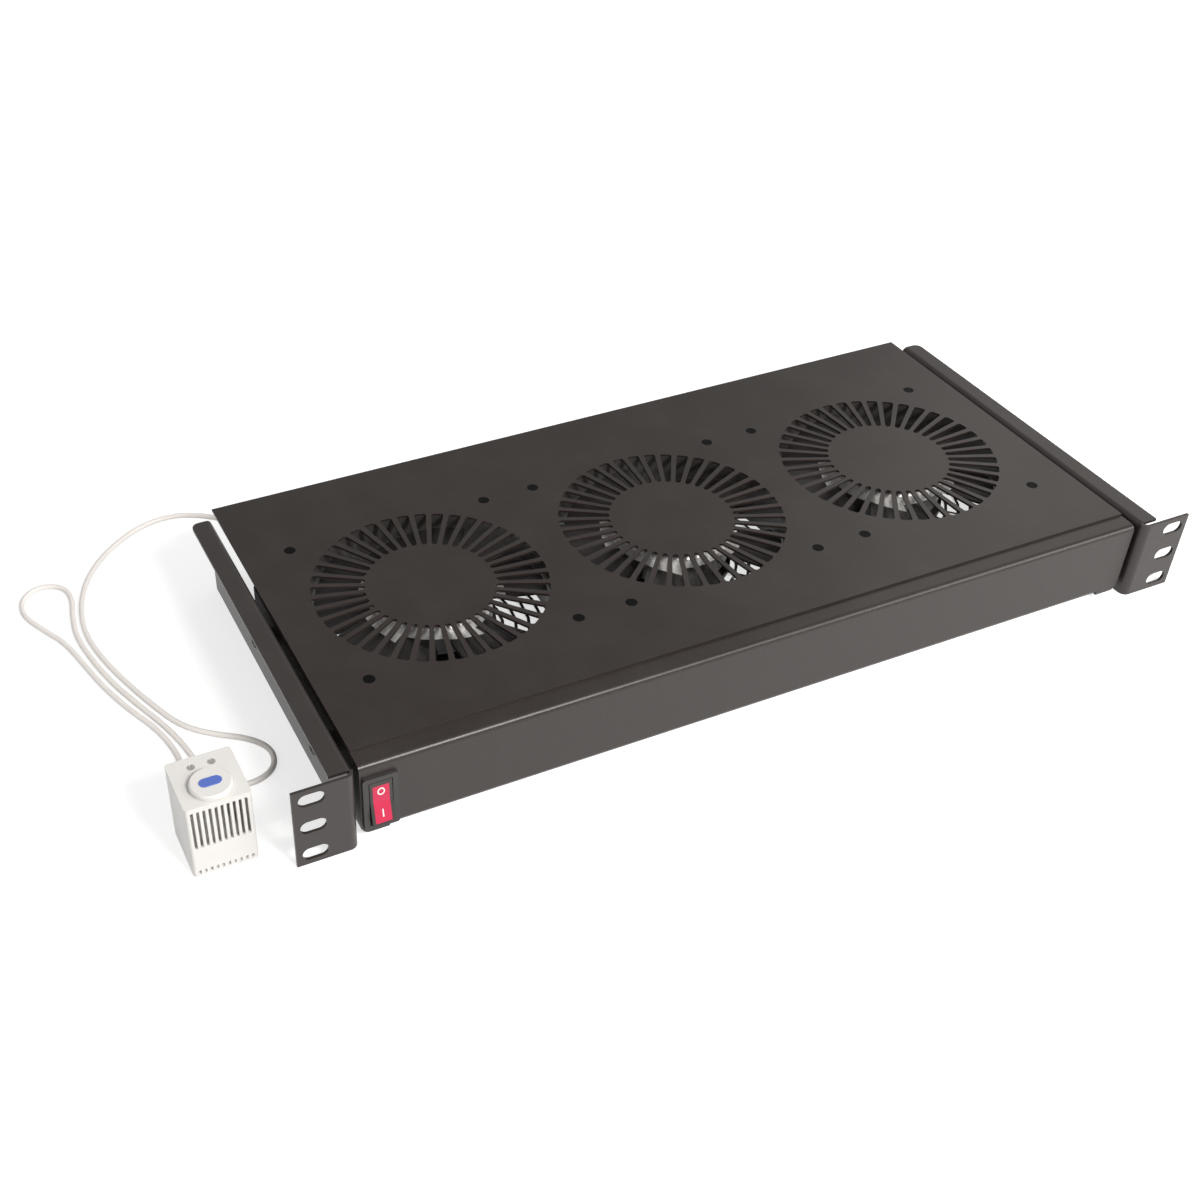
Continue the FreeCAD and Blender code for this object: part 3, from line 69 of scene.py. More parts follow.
# ---------------------------------------------------------------- node building
class Graph:
    """Adds nodes to one node tree and joins them."""

    def __init__(self, tree: bpy.types.NodeTree) -> None:
        """Start on an empty tree.

        Args:
            tree: The tree that the nodes go into.
        """
        self.tree = tree
        self.entry: Optional[bpy.types.Node] = None
        self.exit: Optional[bpy.types.Node] = None
        tree.nodes.clear()

    def add(self, kind: str, **settings: object) -> bpy.types.Node:
        """Add one node.

        Args:
            kind: The node's type, as Blender names it.
            settings: Properties of the node and their values.

        Returns:
            The new node.
        """
        node = self.tree.nodes.new(kind)
        for name, value in settings.items():
            setattr(node, name, value)
        return node

    def join(self, source: bpy.types.NodeSocket, target: bpy.types.NodeSocket) -> None:
        """Link an output to an input."""
        self.tree.links.new(source, target)

    def maths(self, operation: str, first: object,
              second: object = 0.0) -> bpy.types.NodeSocket:
        """Add a Math node.

        Args:
            operation: The node's operation.
            first: A socket or a number.
            second: A socket or a number.

        Returns:
            The node's output.
        """
        node = self.add("ShaderNodeMath", operation=operation)
        for i, value in enumerate((first, second)):
            if isinstance(value, bpy.types.NodeSocket):
                self.join(value, node.inputs[i])
            else:
                node.inputs[i].default_value = value
        return node.outputs[0]

    def blend(self, share: object, low: object, high: object) -> bpy.types.NodeSocket:
        """Mix two colours.

        Args:
            share: A socket or a number from 0 to 1.
            low: Colour or socket where the share is 0.
            high: Colour or socket where the share is 1.

        Returns:
            The mixed colour.
        """
        node = self.add("ShaderNodeMix", data_type="RGBA")
        ends = ((node.inputs[0], share), (node.inputs[6], low), (node.inputs[7], high))
        for socket, value in ends:
            if isinstance(value, bpy.types.NodeSocket):
                self.join(value, socket)
            elif isinstance(value, (int, float)):
                socket.default_value = value
            else:
                socket.default_value = (*value, 1.0)
        return node.outputs[2]

    def spread(self, source: bpy.types.NodeSocket, low: float,
               high: float) -> bpy.types.NodeSocket:
        """Stretch a value from 0..1 to another range.

        Args:
            source: The value.
            low: Result at 0.
            high: Result at 1.

        Returns:
            The stretched value.
        """
        node = self.add("ShaderNodeMapRange")
        self.join(source, node.inputs["Value"])
        node.inputs["To Min"].default_value = low
        node.inputs["To Max"].default_value = high
        return node.outputs["Result"]


class Effects:
    """Shader node groups that several finishes share, each built once."""

    FINE_RATIO = 9.0        # fine cloud against the slow one
    FINE_SHARE = 0.35
    SWELL_RATIO = 0.4       # slow swell of a skin against its bumps
    SWELL_SHARE = 0.4
    SPECK_LEVEL = 0.68      # swell above this is a speck
    GRAIN_STRETCH = (1.0, 0.04, 1.0)
    DUST_SCALE = 38.0
    # noise scale and gain of the painted highlight along edges
    EDGE_HIGHLIGHT_BREAKUP_SCALE = 160.0
    EDGE_HIGHLIGHT_GAIN = 6.0

    def __init__(self) -> None:
        """Start with no group built."""
        self.groups: Dict[str, bpy.types.NodeTree] = {}

    def _open(self, name: str, inputs: Dict[str, float], outputs: Sequence[str]) -> Graph:
        """Make a group with a place input, numbers as inputs and values as outputs.

        Args:
            name: The group's name.
            inputs: Names of the number inputs and their usual values.
            outputs: Names of the outputs.

        Returns:
            The graph inside the group, with its two end nodes.
        """
        tree = bpy.data.node_groups.new(name, "ShaderNodeTree")
        tree.interface.new_socket("Place", in_out="INPUT", socket_type="NodeSocketVector")
        for label, value in inputs.items():
            socket = tree.interface.new_socket(label, in_out="INPUT",
                                               socket_type="NodeSocketFloat")
            socket.default_value = value
        for label in outputs:
            tree.interface.new_socket(label, in_out="OUTPUT", socket_type="NodeSocketFloat")
        graph = Graph(tree)
        graph.entry = graph.add("NodeGroupInput")
        graph.exit = graph.add("NodeGroupOutput")
        self.groups[name] = tree
        return graph

    def mottle(self) -> bpy.types.NodeTree:
        """Slow colour drift with a finer cloud on top, about 0.5 in the mean.

        Returns:
            The group.
        """
        if "mottle" not in self.groups:
            g = self._open("mottle", {"Scale": 20.0}, ["Cloud"])
            slow = g.add("ShaderNodeTexNoise")
            slow.inputs["Detail"].default_value = 3.0
            fine = g.add("ShaderNodeTexNoise")
            fine.inputs["Detail"].default_value = 2.0
            for node in (slow, fine):
                g.join(g.entry.outputs["Place"], node.inputs["Vector"])
            g.join(g.entry.outputs["Scale"], slow.inputs["Scale"])
            fine_scale = g.maths("MULTIPLY", g.entry.outputs["Scale"], self.FINE_RATIO)
            g.join(fine_scale, fine.inputs["Scale"])
            share = g.maths("MULTIPLY", fine.outputs[0], self.FINE_SHARE)
            rest = g.maths("MULTIPLY", slow.outputs[0], 1.0 - self.FINE_SHARE)
            total = g.maths("ADD", rest, share)
            g.join(total, g.exit.inputs["Cloud"])
        return self.groups["mottle"]

    def peel(self) -> bpy.types.NodeTree:
        """Height of a powder coat or a moulded skin: rounded bumps and a few specks.

        Returns:
            The group.
        """
        if "peel" not in self.groups:
            g = self._open("peel", {"Scale": 900.0, "Specks": 0.3}, ["Height", "Speck"])
            bumps = g.add("ShaderNodeTexVoronoi", feature="SMOOTH_F1")
            bumps.inputs["Smoothness"].default_value = 1.0
            swell = g.add("ShaderNodeTexNoise")
            swell.inputs["Detail"].default_value = 1.0
            for node in (bumps, swell):
                g.join(g.entry.outputs["Place"], node.inputs["Vector"])
            g.join(g.entry.outputs["Scale"], bumps.inputs["Scale"])
            swell_scale = g.maths("MULTIPLY", g.entry.outputs["Scale"], self.SWELL_RATIO)
            g.join(swell_scale, swell.inputs["Scale"])
            dome = g.maths("SUBTRACT", 1.0, bumps.outputs["Distance"])
            height = g.maths("ADD", g.maths("MULTIPLY", dome, 1.0 - self.SWELL_SHARE),
                             g.maths("MULTIPLY", swell.outputs[0], self.SWELL_SHARE))
            g.join(height, g.exit.inputs["Height"])
            peak = g.maths("GREATER_THAN", swell.outputs[0], self.SPECK_LEVEL)
            g.join(g.maths("MULTIPLY", peak, g.entry.outputs["Specks"]), g.exit.inputs["Speck"])
        return self.groups["peel"]

    def grain(self) -> bpy.types.NodeTree:
        """Lines of rolled, drawn or turned metal along the second axis of the place.

        Returns:
            The group.
        """
        if "grain" not in self.groups:
            g = self._open("grain", {"Scale": 500.0}, ["Lines"])
            stretch = g.add("ShaderNodeMapping")
            stretch.inputs["Scale"].default_value = self.GRAIN_STRETCH
            g.join(g.entry.outputs["Place"], stretch.inputs["Vector"])
            lines = g.add("ShaderNodeTexNoise")
            lines.inputs["Detail"].default_value = 4.0
            g.join(stretch.outputs[0], lines.inputs["Vector"])
            g.join(g.entry.outputs["Scale"], lines.inputs["Scale"])
            g.join(lines.outputs[0], g.exit.inputs["Lines"])
        return self.groups["grain"]

    def dust(self) -> bpy.types.NodeTree:
        """Share of settled dust on surfaces that face up.

        Returns:
            The group.
        """
        if "dust" not in self.groups:
            g = self._open("dust", {"Cover": 0.2}, ["Share"])
            shape = g.add("ShaderNodeNewGeometry")
            parts = g.add("ShaderNodeSeparateXYZ")
            g.join(shape.outputs["Normal"], parts.inputs[0])
            up = g.maths("MAXIMUM", parts.outputs["Z"], 0.0)
            cloud = g.add("ShaderNodeTexNoise")
            cloud.inputs["Scale"].default_value = self.DUST_SCALE
            cloud.inputs["Detail"].default_value = 6.0
            g.join(g.entry.outputs["Place"], cloud.inputs["Vector"])
            patch = g.maths("MULTIPLY", g.maths("POWER", cloud.outputs[0], 2.0), up)
            g.join(g.maths("MULTIPLY", patch, g.entry.outputs["Cover"]), g.exit.inputs["Share"])
        return self.groups["dust"]

    def painted_edge_highlight(self) -> bpy.types.NodeTree:
        """Share of painted highlight along edges, broken up by noise.

        Returns:
            The group.
        """
        if "painted_edge_highlight" not in self.groups:
            g = self._open("painted_edge_highlight", {"Width": 0.0004, "Amount": 0.5}, ["Share"])
            round_normal = g.add("ShaderNodeBevel", samples=4)
            g.join(g.entry.outputs["Width"], round_normal.inputs["Radius"])
            shape = g.add("ShaderNodeNewGeometry")
            dot = g.add("ShaderNodeVectorMath", operation="DOT_PRODUCT")
            g.join(round_normal.outputs[0], dot.inputs[0])
            g.join(shape.outputs["True Normal"], dot.inputs[1])
            turned = g.maths("SUBTRACT", 1.0, dot.outputs["Value"])
            edge = g.maths("MULTIPLY", turned, self.EDGE_HIGHLIGHT_GAIN)
            patch = g.add("ShaderNodeTexNoise")
            patch.inputs["Scale"].default_value = self.EDGE_HIGHLIGHT_BREAKUP_SCALE
            patch.inputs["Detail"].default_value = 4.0
            g.join(g.entry.outputs["Place"], patch.inputs["Vector"])
            share = g.maths("MULTIPLY", g.maths("MINIMUM", edge, 1.0), patch.outputs[0])
            g.join(g.maths("MULTIPLY", share, g.entry.outputs["Amount"]), g.exit.inputs["Share"])
        return self.groups["painted_edge_highlight"]


def place_of(graph: Graph) -> bpy.types.NodeSocket:
    """Place on the piece, in metres, that moves with it."""
    return graph.add("ShaderNodeTexCoord").outputs["Object"]


def effect(graph: Graph, tree: bpy.types.NodeTree, place: bpy.types.NodeSocket,
           **values: float) -> bpy.types.Node:
    """Place a shared group in a material with its own values.

    Args:
        graph: The material's graph.
        tree: The group.
        place: Where the effect is looked up.
        values: The group's inputs by name.

    Returns:
        The group node.
    """
    node = graph.add("ShaderNodeGroup", node_tree=tree)
    graph.join(place, node.inputs["Place"])
    for name, value in values.items():
        node.inputs[name].default_value = value
    return node


def new_material(name: str) -> Tuple[bpy.types.Material, Graph, bpy.types.Node]:
    """Make a material with a Principled BSDF on its output.

    Args:
        name: The material's name.

    Returns:
        The material, its graph and the shader node.
    """
    material = bpy.data.materials.new(name)
    material.use_nodes = True
    graph = Graph(material.node_tree)
    shader = graph.add("ShaderNodeBsdfPrincipled")
    graph.join(shader.outputs[0], graph.add("ShaderNodeOutputMaterial").inputs[0])
    return material, graph, shader


def relief(graph: Graph, height: bpy.types.NodeSocket, depth: float) -> bpy.types.NodeSocket:
    """Turn a height into a normal.

    Args:
        graph: The material's graph.
        height: The height, from 0 to 1.
        depth: Its real depth in metres.

    Returns:
        The normal.
    """
    bump = graph.add("ShaderNodeBump")
    bump.inputs["Distance"].default_value = depth
    bump.inputs["Strength"].default_value = 1.0
    graph.join(height, bump.inputs["Height"])
    return bump.outputs[0]


# ---------------------------------------------------------------- finishes
@dataclass(frozen=True)
class PowderCoat:
    """Baked powder paint on sheet steel: rounded orange peel, slight cloud, thin dust, and a
    painted highlight that lightens its edges.
    """

    name: str
    colour: Colour
    rise: float = 0.12
    roughness: float = 0.42
    peel_scale: float = 1500.0
    peel_depth: float = 0.00002
    specular: float = 0.5
    dust: float = 0.1
    # strength and width of the painted highlight along edges
    painted_edge_highlight: float = 0.25
    painted_edge_highlight_width: float = 0.0005
    cloud_scale: float = 14.0
    specks: float = 0.25
    speck_share: float = 0.4

    def build(self, effects: Effects) -> bpy.types.Material:
        """Make the material.

        Args:
            effects: The shared node groups.

        Returns:
            The new material.
        """
        material, g, shader = new_material(self.name)
        place = place_of(g)
        cloud = effect(g, effects.mottle(), place, Scale=self.cloud_scale).outputs["Cloud"]
        skin = effect(g, effects.peel(), place, Scale=self.peel_scale, Specks=self.specks)
        high = tuple(min(1.0, c * (1 + self.rise) + 0.004) for c in self.colour)
        low = tuple(c * (1 - self.rise) for c in self.colour)
        base = g.blend(cloud, low, high)
        # paler copy of the paint, used for the painted highlight along edges and for random light
        # specks in the coat
        edge_highlight_and_speck_colour = tuple(min(1.0, c * 2.2 + 0.03) for c in self.colour)
        edges = effect(g, effects.painted_edge_highlight(), place, Width=self.painted_edge_highlight_width, Amount=self.painted_edge_highlight)
        base = g.blend(edges.outputs["Share"], base, edge_highlight_and_speck_colour)
        speck = g.maths("MULTIPLY", skin.outputs["Speck"], self.speck_share)
        base = g.blend(speck, base, edge_highlight_and_speck_colour)
        film = effect(g, effects.dust(), place, Cover=self.dust).outputs["Share"]
        g.join(g.blend(film, base, DUST_ON_PAINT), shader.inputs["Base Color"])
        matt = g.spread(cloud, self.roughness - 0.05, self.roughness + 0.06)
        g.join(g.maths("ADD", matt, g.maths("MULTIPLY", film, 0.5)), shader.inputs["Roughness"])
        g.join(relief(g, skin.outputs["Height"], self.peel_depth), shader.inputs["Normal"])
        shader.inputs["Specular IOR Level"].default_value = self.specular
        return material


@dataclass(frozen=True)
class Metal:
    """Bare or plated metal with lines of its making and a little tarnish."""

    name: str
    colour: Colour
    tarnish: Colour
    roughness: float = 0.3
    line_scale: float = 700.0
    line_depth: float = 0.00001
    stain: float = 0.35
    cloud_scale: float = 55.0

    def build(self, effects: Effects) -> bpy.types.Material:
        """Make the material.

        Args:
            effects: The shared node groups.

        Returns:
            The new material.
        """
        material, g, shader = new_material(self.name)
        place = place_of(g)
        cloud = effect(g, effects.mottle(), place, Scale=self.cloud_scale).outputs["Cloud"]
        lines = effect(g, effects.grain(), place, Scale=self.line_scale).outputs["Lines"]
        patch = g.maths("MULTIPLY", g.maths("POWER", cloud, 1.5), self.stain)
        g.join(g.blend(patch, self.colour, self.tarnish), shader.inputs["Base Color"])
        drawn = g.spread(lines, self.roughness - 0.08, self.roughness + 0.1)
        dull = g.maths("MULTIPLY", patch, 0.3)
        g.join(g.maths("ADD", drawn, dull), shader.inputs["Roughness"])
        g.join(relief(g, lines, self.line_depth), shader.inputs["Normal"])
        shader.inputs["Metallic"].default_value = 1.0
        return material


@dataclass(frozen=True)
class Plastic:
    """Moulded plastic or rubber with a fine matt skin."""

    name: str
    colour: Colour
    rise: float = 0.05
    roughness: float = 0.45
    skin_scale: float = 2600.0
    skin_depth: float = 0.00002
    specular: float = 0.5
    dust: float = 0.05
    glow_through: float = 0.0
    cloud_scale: float = 40.0

    def build(self, effects: Effects) -> bpy.types.Material:
        """Make the material.

        Args:
            effects: The shared node groups.

        Returns:
            The new material.
        """
        material, g, shader = new_material(self.name)
        place = place_of(g)
        cloud = effect(g, effects.mottle(), place, Scale=self.cloud_scale).outputs["Cloud"]
        skin = effect(g, effects.peel(), place, Scale=self.skin_scale, Specks=0.1)
        high = tuple(min(1.0, c * (1 + self.rise)) for c in self.colour)
        low = tuple(c * (1 - self.rise) for c in self.colour)
        film = effect(g, effects.dust(), place, Cover=self.dust).outputs["Share"]
        base = g.blend(film, g.blend(cloud, low, high), DUST_ON_PLASTIC)
        g.join(base, shader.inputs["Base Color"])
        matt = g.spread(cloud, self.roughness - 0.05, self.roughness + 0.05)
        g.join(matt, shader.inputs["Roughness"])
        g.join(relief(g, skin.outputs["Height"], self.skin_depth), shader.inputs["Normal"])
        shader.inputs["Specular IOR Level"].default_value = self.specular
        if self.glow_through > 0:
            shader.inputs["Subsurface Weight"].default_value = self.glow_through
            shader.inputs["Subsurface Scale"].default_value = 0.001
            shader.inputs["Subsurface Radius"].default_value = (1.0, 0.7, 0.5)
        return material


@dataclass(frozen=True)
class RotorShell:
    """Rotor of an axial fan: bare steel above and near the axis, black below and outside."""

    name: str
    steel: Colour = (0.72, 0.71, 0.69)
    black: Colour = (0.028, 0.025, 0.024)
    level: float = 12.0 * MM
    reach: float = 36.0 * MM
    pitch: float = 133.0 * MM
    axis_y: float = 104.5 * MM
    roughness: float = 0.3
    shine: float = 0.3
    cloud_scale: float = 55.0
    line_scale: float = 700.0
    line_depth: float = 0.00001

    def build(self, effects: Effects) -> bpy.types.Material:
        """Make the material.

        Args:
            effects: The shared node groups.

        Returns:
            The new material.
        """
        material, g, shader = new_material(self.name)
        place = place_of(g)
        parts = g.add("ShaderNodeSeparateXYZ")
        g.join(place, parts.inputs[0])
        across = g.maths("PINGPONG", parts.outputs["X"], self.pitch / 2)
        along = g.maths("SUBTRACT", parts.outputs["Y"], self.axis_y)
        square = g.maths("ADD", g.maths("MULTIPLY", across, across),
                         g.maths("MULTIPLY", along, along))
        inside = g.maths("LESS_THAN", g.maths("SQRT", square), self.reach)
        above = g.maths("GREATER_THAN", parts.outputs["Z"], self.level)
        bare = g.maths("MULTIPLY", inside, above)
        cloud = effect(g, effects.mottle(), place, Scale=self.cloud_scale).outputs["Cloud"]
        lines = effect(g, effects.grain(), place, Scale=self.line_scale).outputs["Lines"]
        tarnish = tuple(c * 0.6 for c in self.steel)
        plain = g.blend(g.maths("MULTIPLY", cloud, 0.4), self.steel, tarnish)
        g.join(g.blend(bare, self.black, plain), shader.inputs["Base Color"])
        g.join(g.maths("MULTIPLY", bare, self.shine), shader.inputs["Metallic"])
        turned = g.spread(lines, self.roughness - 0.06, self.roughness + 0.1)
        g.join(turned, shader.inputs["Roughness"])
        g.join(relief(g, lines, self.line_depth), shader.inputs["Normal"])
        return material


@dataclass(frozen=True)
class LensRocker:
    """Black rocker with a red lens down its middle."""

    name: str
    red: Colour = (0.66, 0.012, 0.075)
    black: Colour = (0.028, 0.024, 0.023)
    middle: Tuple[float, float] = (-201.0 * MM, -1.1 * MM)
    half_width: float = 3.8 * MM
    half_height: float = 9.9 * MM
    roughness: float = 0.3
    cloud_scale: float = 40.0

    def build(self, effects: Effects) -> bpy.types.Material:
        """Make the material.

        Args:
            effects: The shared node groups.

        Returns:
            The new material.
        """
        material, g, shader = new_material(self.name)
        place = place_of(g)
        parts = g.add("ShaderNodeSeparateXYZ")
        g.join(place, parts.inputs[0])
        off_x, off_z = (g.maths("ABSOLUTE", g.maths("SUBTRACT", parts.outputs[axis], centre))
                        for axis, centre in zip("XZ", self.middle))
        lens = g.maths("MULTIPLY", g.maths("LESS_THAN", off_x, self.half_width),
                       g.maths("LESS_THAN", off_z, self.half_height))
        cloud = effect(g, effects.mottle(), place, Scale=self.cloud_scale).outputs["Cloud"]
        deep = tuple(c * 0.85 for c in self.red)
        window = g.blend(cloud, deep, self.red)
        g.join(g.blend(lens, self.black, window), shader.inputs["Base Color"])
        matt = g.spread(cloud, self.roughness - 0.05, self.roughness + 0.05)
        g.join(matt, shader.inputs["Roughness"])
        return material


@dataclass(frozen=True)
class WoundCore:
    """Stacked steel sheets of a motor core, seen as fine level layers, with varnish."""

    name: str
    colour: Colour = (0.24, 0.14, 0.09)
    varnish: Colour = (0.42, 0.24, 0.12)
    layer: float = 0.0005
    layer_depth: float = 0.00008
    cloud_scale: float = 120.0

    def build(self, effects: Effects) -> bpy.types.Material:
        """Make the material.

        Args:
            effects: The shared node groups.

        Returns:
            The new material.
        """
        material, g, shader = new_material(self.name)
        place = place_of(g)
        waves = g.add("ShaderNodeTexWave", wave_type="BANDS", bands_direction="Z")
        waves.inputs["Scale"].default_value = 0.314 / self.layer
        waves.inputs["Distortion"].default_value = 0.4
        g.join(place, waves.inputs["Vector"])
        cloud = effect(g, effects.mottle(), place, Scale=self.cloud_scale).outputs["Cloud"]
        dark = tuple(c * 0.55 for c in self.colour)
        base = g.blend(waves.outputs["Fac"], dark, self.colour)
        g.join(g.blend(g.maths("MULTIPLY", cloud, 0.4), base, self.varnish),
               shader.inputs["Base Color"])
        g.join(g.spread(cloud, 0.35, 0.6), shader.inputs["Roughness"])
        g.join(relief(g, waves.outputs["Fac"], self.layer_depth), shader.inputs["Normal"])
        return material


@dataclass(frozen=True)
class Floor:
    """Plain white studio floor that keeps a faint shadow of what stands on it."""

    name: str = "studio_floor"
    matt: float = 0.6           # share of the light that it scatters
    glow: float = 0.66          # own light towards the camera
    gloss_glow: float = 0.75    # own light in what mirrors it

    def build(self) -> bpy.types.Material:
        """Make the material.

        Returns:
            The new material.
        """
        material = bpy.data.materials.new(self.name)
        material.use_nodes = True
        g = Graph(material.node_tree)
        matt = g.add("ShaderNodeBsdfDiffuse")
        matt.inputs[0].default_value = (self.matt, self.matt, self.matt, 1.0)
        rays = g.add("ShaderNodeLightPath")
        mirrored = g.maths("MAXIMUM", rays.outputs["Is Glossy Ray"],
                           rays.outputs["Is Transmission Ray"])
        seen = g.maths("MAXIMUM", g.maths("MULTIPLY", rays.outputs["Is Camera Ray"], self.glow),
                       g.maths("MULTIPLY", mirrored, self.gloss_glow))
        glow = g.add("ShaderNodeEmission")
        glow.inputs[0].default_value = WHITE
        g.join(seen, glow.inputs[1])
        both = g.add("ShaderNodeAddShader")
        g.join(matt.outputs[0], both.inputs[0])
        g.join(glow.outputs[0], both.inputs[1])
        g.join(both.outputs[0], g.add("ShaderNodeOutputMaterial").inputs[0])
        return material


EFFECTS = Effects()
FINISHES = {finish.name: finish for finish in (
    PowderCoat("tray_paint", (0.021, 0.0145, 0.012), rise=0.07, roughness=0.32, dust=0.06),
    PowderCoat("bracket_paint", (0.030, 0.024, 0.022), rise=0.07, roughness=0.38, dust=0.06),
    PowderCoat("fan_casting", (0.040, 0.036, 0.034), roughness=0.5, peel_scale=900.0,
               peel_depth=0.00008),
    Metal("zinc_steel", (0.62, 0.62, 0.60), (0.36, 0.33, 0.28)),
    Metal("black_steel", (0.016, 0.015, 0.015), (0.009, 0.008, 0.008), roughness=0.45),
    Metal("guard_wire", (0.66, 0.66, 0.65), (0.40, 0.38, 0.34), roughness=0.22),
    Metal("brass_tabs", (0.72, 0.56, 0.30), (0.40, 0.26, 0.12), roughness=0.28),
    Metal("clamp_steel", (0.86, 0.83, 0.78), (0.60, 0.56, 0.50), roughness=0.42),
    WoundCore("stator_core"),
    RotorShell("rotor_steel"),
    RotorShell("blade_black", roughness=0.36),
    LensRocker("rocker_red"),
    Plastic("switch_black", (0.030, 0.026, 0.025), roughness=0.36),
    Plastic("terminal_nylon", (0.74, 0.72, 0.66), roughness=0.5, glow_through=0.1),
    Plastic("grommet_rubber", (0.02, 0.02, 0.02), roughness=0.62),
    Plastic("thermostat_shell", (0.80, 0.785, 0.755), rise=0.02, roughness=0.42, dust=0.0),
    Plastic("cable_white", (0.93, 0.89, 0.85), rise=0.03, roughness=0.4, dust=0.0),
    Plastic("mark_white", (0.86, 0.85, 0.83), rise=0.02, roughness=0.5, dust=0.0),
    Plastic("dial_blue", (0.10, 0.17, 0.56), roughness=0.5, dust=0.0),
)}
BUILT: Dict[str, bpy.types.Material] = {}


def finish_of(name: str) -> bpy.types.Material:
    """Material of a finish, built the first time that it is asked for.

    Args:
        name: The finish's name.

    Returns:
        The finish's one material.
    """
    if name not in BUILT:
        BUILT[name] = FINISHES[name].build(EFFECTS)
    return BUILT[name]


def dress(node: str, finish: str) -> None:
    """Give every material slot of a solid its finish.

    Args:
        node: The solid's name.
        finish: The finish's name.
    """
    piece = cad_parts[node]
    if not piece.material_slots:
        piece.data.materials.append(None)
    for slot in piece.material_slots:
        slot.material = finish_of(finish)
    LOG.info("%s in %s", node, finish)


def add_piece(name: str, mesh: bmesh.types.BMesh, finish: str, body: Body,
              smooth: bool = False) -> bpy.types.Object:
    """Turn a built mesh into a dressed piece that rides on a body.

    Args:
        name: The piece's name.
        mesh: The mesh, in metres, in the tray's frame. It is freed.
        finish: The finish's name.
        body: The body that carries it.
        smooth: Whether its faces are shaded smooth.

    Returns:
        The piece.
    """
    data = bpy.data.meshes.new(name)
    for face in mesh.faces:
        face.smooth = smooth
    bmesh.ops.recalc_face_normals(mesh, faces=mesh.faces)
    mesh.to_mesh(data)
    mesh.free()
    piece = bpy.data.objects.new(name, data)
    bpy.context.scene.collection.objects.link(piece)
    data.materials.append(finish_of(finish))
    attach(piece, body.value)
    LOG.info("%s on %s", name, body.value)
    return piece


# ---------------------------------------------------------------- camera, light and floor
@dataclass
class Viewpoint:
    """Camera in front of the tray's left half, looking down on it."""

    position: Point = (-0.3635, -0.4413, 0.4810)
    heading: float = 24.73
    dip: float = 39.37
    roll: float = 0.25
    lens: float = 46.96
    sensor: float = 36.0
    nearest: float = 0.01
    shift: Tuple[float, float] = (0.1084, 0.0226)

    def build(self) -> bpy.types.Object:
        """Make the camera and give it to the scene.

        Returns:
            The camera.
        """
        data = bpy.data.cameras.new("camera")
        data.lens = self.lens
        data.sensor_width = self.sensor
        data.shift_x, data.shift_y = self.shift
        data.clip_start = self.nearest
        turn = math.radians(self.heading)
        down = math.radians(self.dip)
        level = math.cos(down)
        ahead = Vector((math.sin(turn) * level, math.cos(turn) * level, -math.sin(down)))
        roll = Matrix.Rotation(math.radians(self.roll), 3, "Z")
        spin = ahead.to_track_quat("-Z", "Y").to_matrix() @ roll
        camera = bpy.data.objects.new("camera", data)
        camera.matrix_world = Matrix.Translation(Vector(self.position)) @ spin.to_4x4()
        bpy.context.scene.collection.objects.link(camera)
        bpy.context.scene.camera = camera
        return camera


@dataclass(frozen=True)
class SoftBox:
    """One square studio lamp aimed at the tray."""

    name: str
    place: Point
    size: float
    power: float
    target: Point = (0.0, 0.1, 0.0)
    colour: Colour = (1.0, 0.98, 0.96)

    def build(self) -> None:
        """Make the lamp."""
        data = bpy.data.lights.new(self.name, "AREA")
        data.shape = "SQUARE"
        data.size = self.size
        data.energy = self.power
        data.color = self.colour
        lamp = bpy.data.objects.new(self.name, data)
        aim = Vector(self.target) - Vector(self.place)
        spin = aim.to_track_quat("-Z", "Y").to_matrix().to_4x4()
        lamp.matrix_world = Matrix.Translation(Vector(self.place)) @ spin
        bpy.context.scene.collection.objects.link(lamp)


@dataclass
class Studio:
    """Floor, lamps and an even surround."""

    floor_level: float = -21.85 * MM
    reach: float = 1.9
    cuts: int = 3
    surround: float = 0.38
    lamps: List[SoftBox] = field(default_factory=lambda: [
        SoftBox("key_front", (0.3, -1.4, 1.3), 0.5, 30.0),
        SoftBox("front_right", (1.4, -1.2, 0.9), 0.9, 14.0),
        SoftBox("fill_left", (-1.5, -0.6, 1.4), 1.4, 3.5),
        SoftBox("top_right", (1.5, 0.9, 1.3), 1.2, 3.5),
    ])

    def lay_floor(self) -> None:
        """Make the floor under the tray."""
        mesh = bmesh.new()
        corners = [(-1, -1), (1, -1), (1, 1), (-1, 1)]
        mesh.faces.new([mesh.verts.new((x * self.reach, y * self.reach, self.floor_level))
                        for x, y in corners])
        bmesh.ops.subdivide_edges(mesh, edges=mesh.edges[:], cuts=self.cuts, use_grid_fill=True)
        data = bpy.data.meshes.new("studio_floor")
        mesh.to_mesh(data)
        mesh.free()
        floor = bpy.data.objects.new("studio_floor", data)
        bpy.context.scene.collection.objects.link(floor)
        data.materials.append(Floor().build())

    def light_round(self) -> None:
        """Make an even world that the camera sees as white."""
        world = bpy.data.worlds.new("studio")
        world.use_nodes = True
        g = Graph(world.node_tree)
        even = g.add("ShaderNodeBackground")
        even.inputs[0].default_value = WHITE
        even.inputs[1].default_value = self.surround
        white = g.add("ShaderNodeBackground")
        white.inputs[0].default_value = WHITE
        white.inputs[1].default_value = 1.0
        rays = g.add("ShaderNodeLightPath")
        mix = g.add("ShaderNodeMixShader")
        g.join(rays.outputs["Is Camera Ray"], mix.inputs[0])
        g.join(even.outputs[0], mix.inputs[1])
        g.join(white.outputs[0], mix.inputs[2])
        g.join(mix.outputs[0], g.add("ShaderNodeOutputWorld").inputs[0])
        bpy.context.scene.world = world

    def build(self) -> None:
        """Make the floor, the lamps and the world."""
        self.lay_floor()
        for lamp in self.lamps:
            lamp.build()
        self.light_round()
        bpy.context.scene.view_settings.view_transform = "Standard"
        LOG.info("studio")


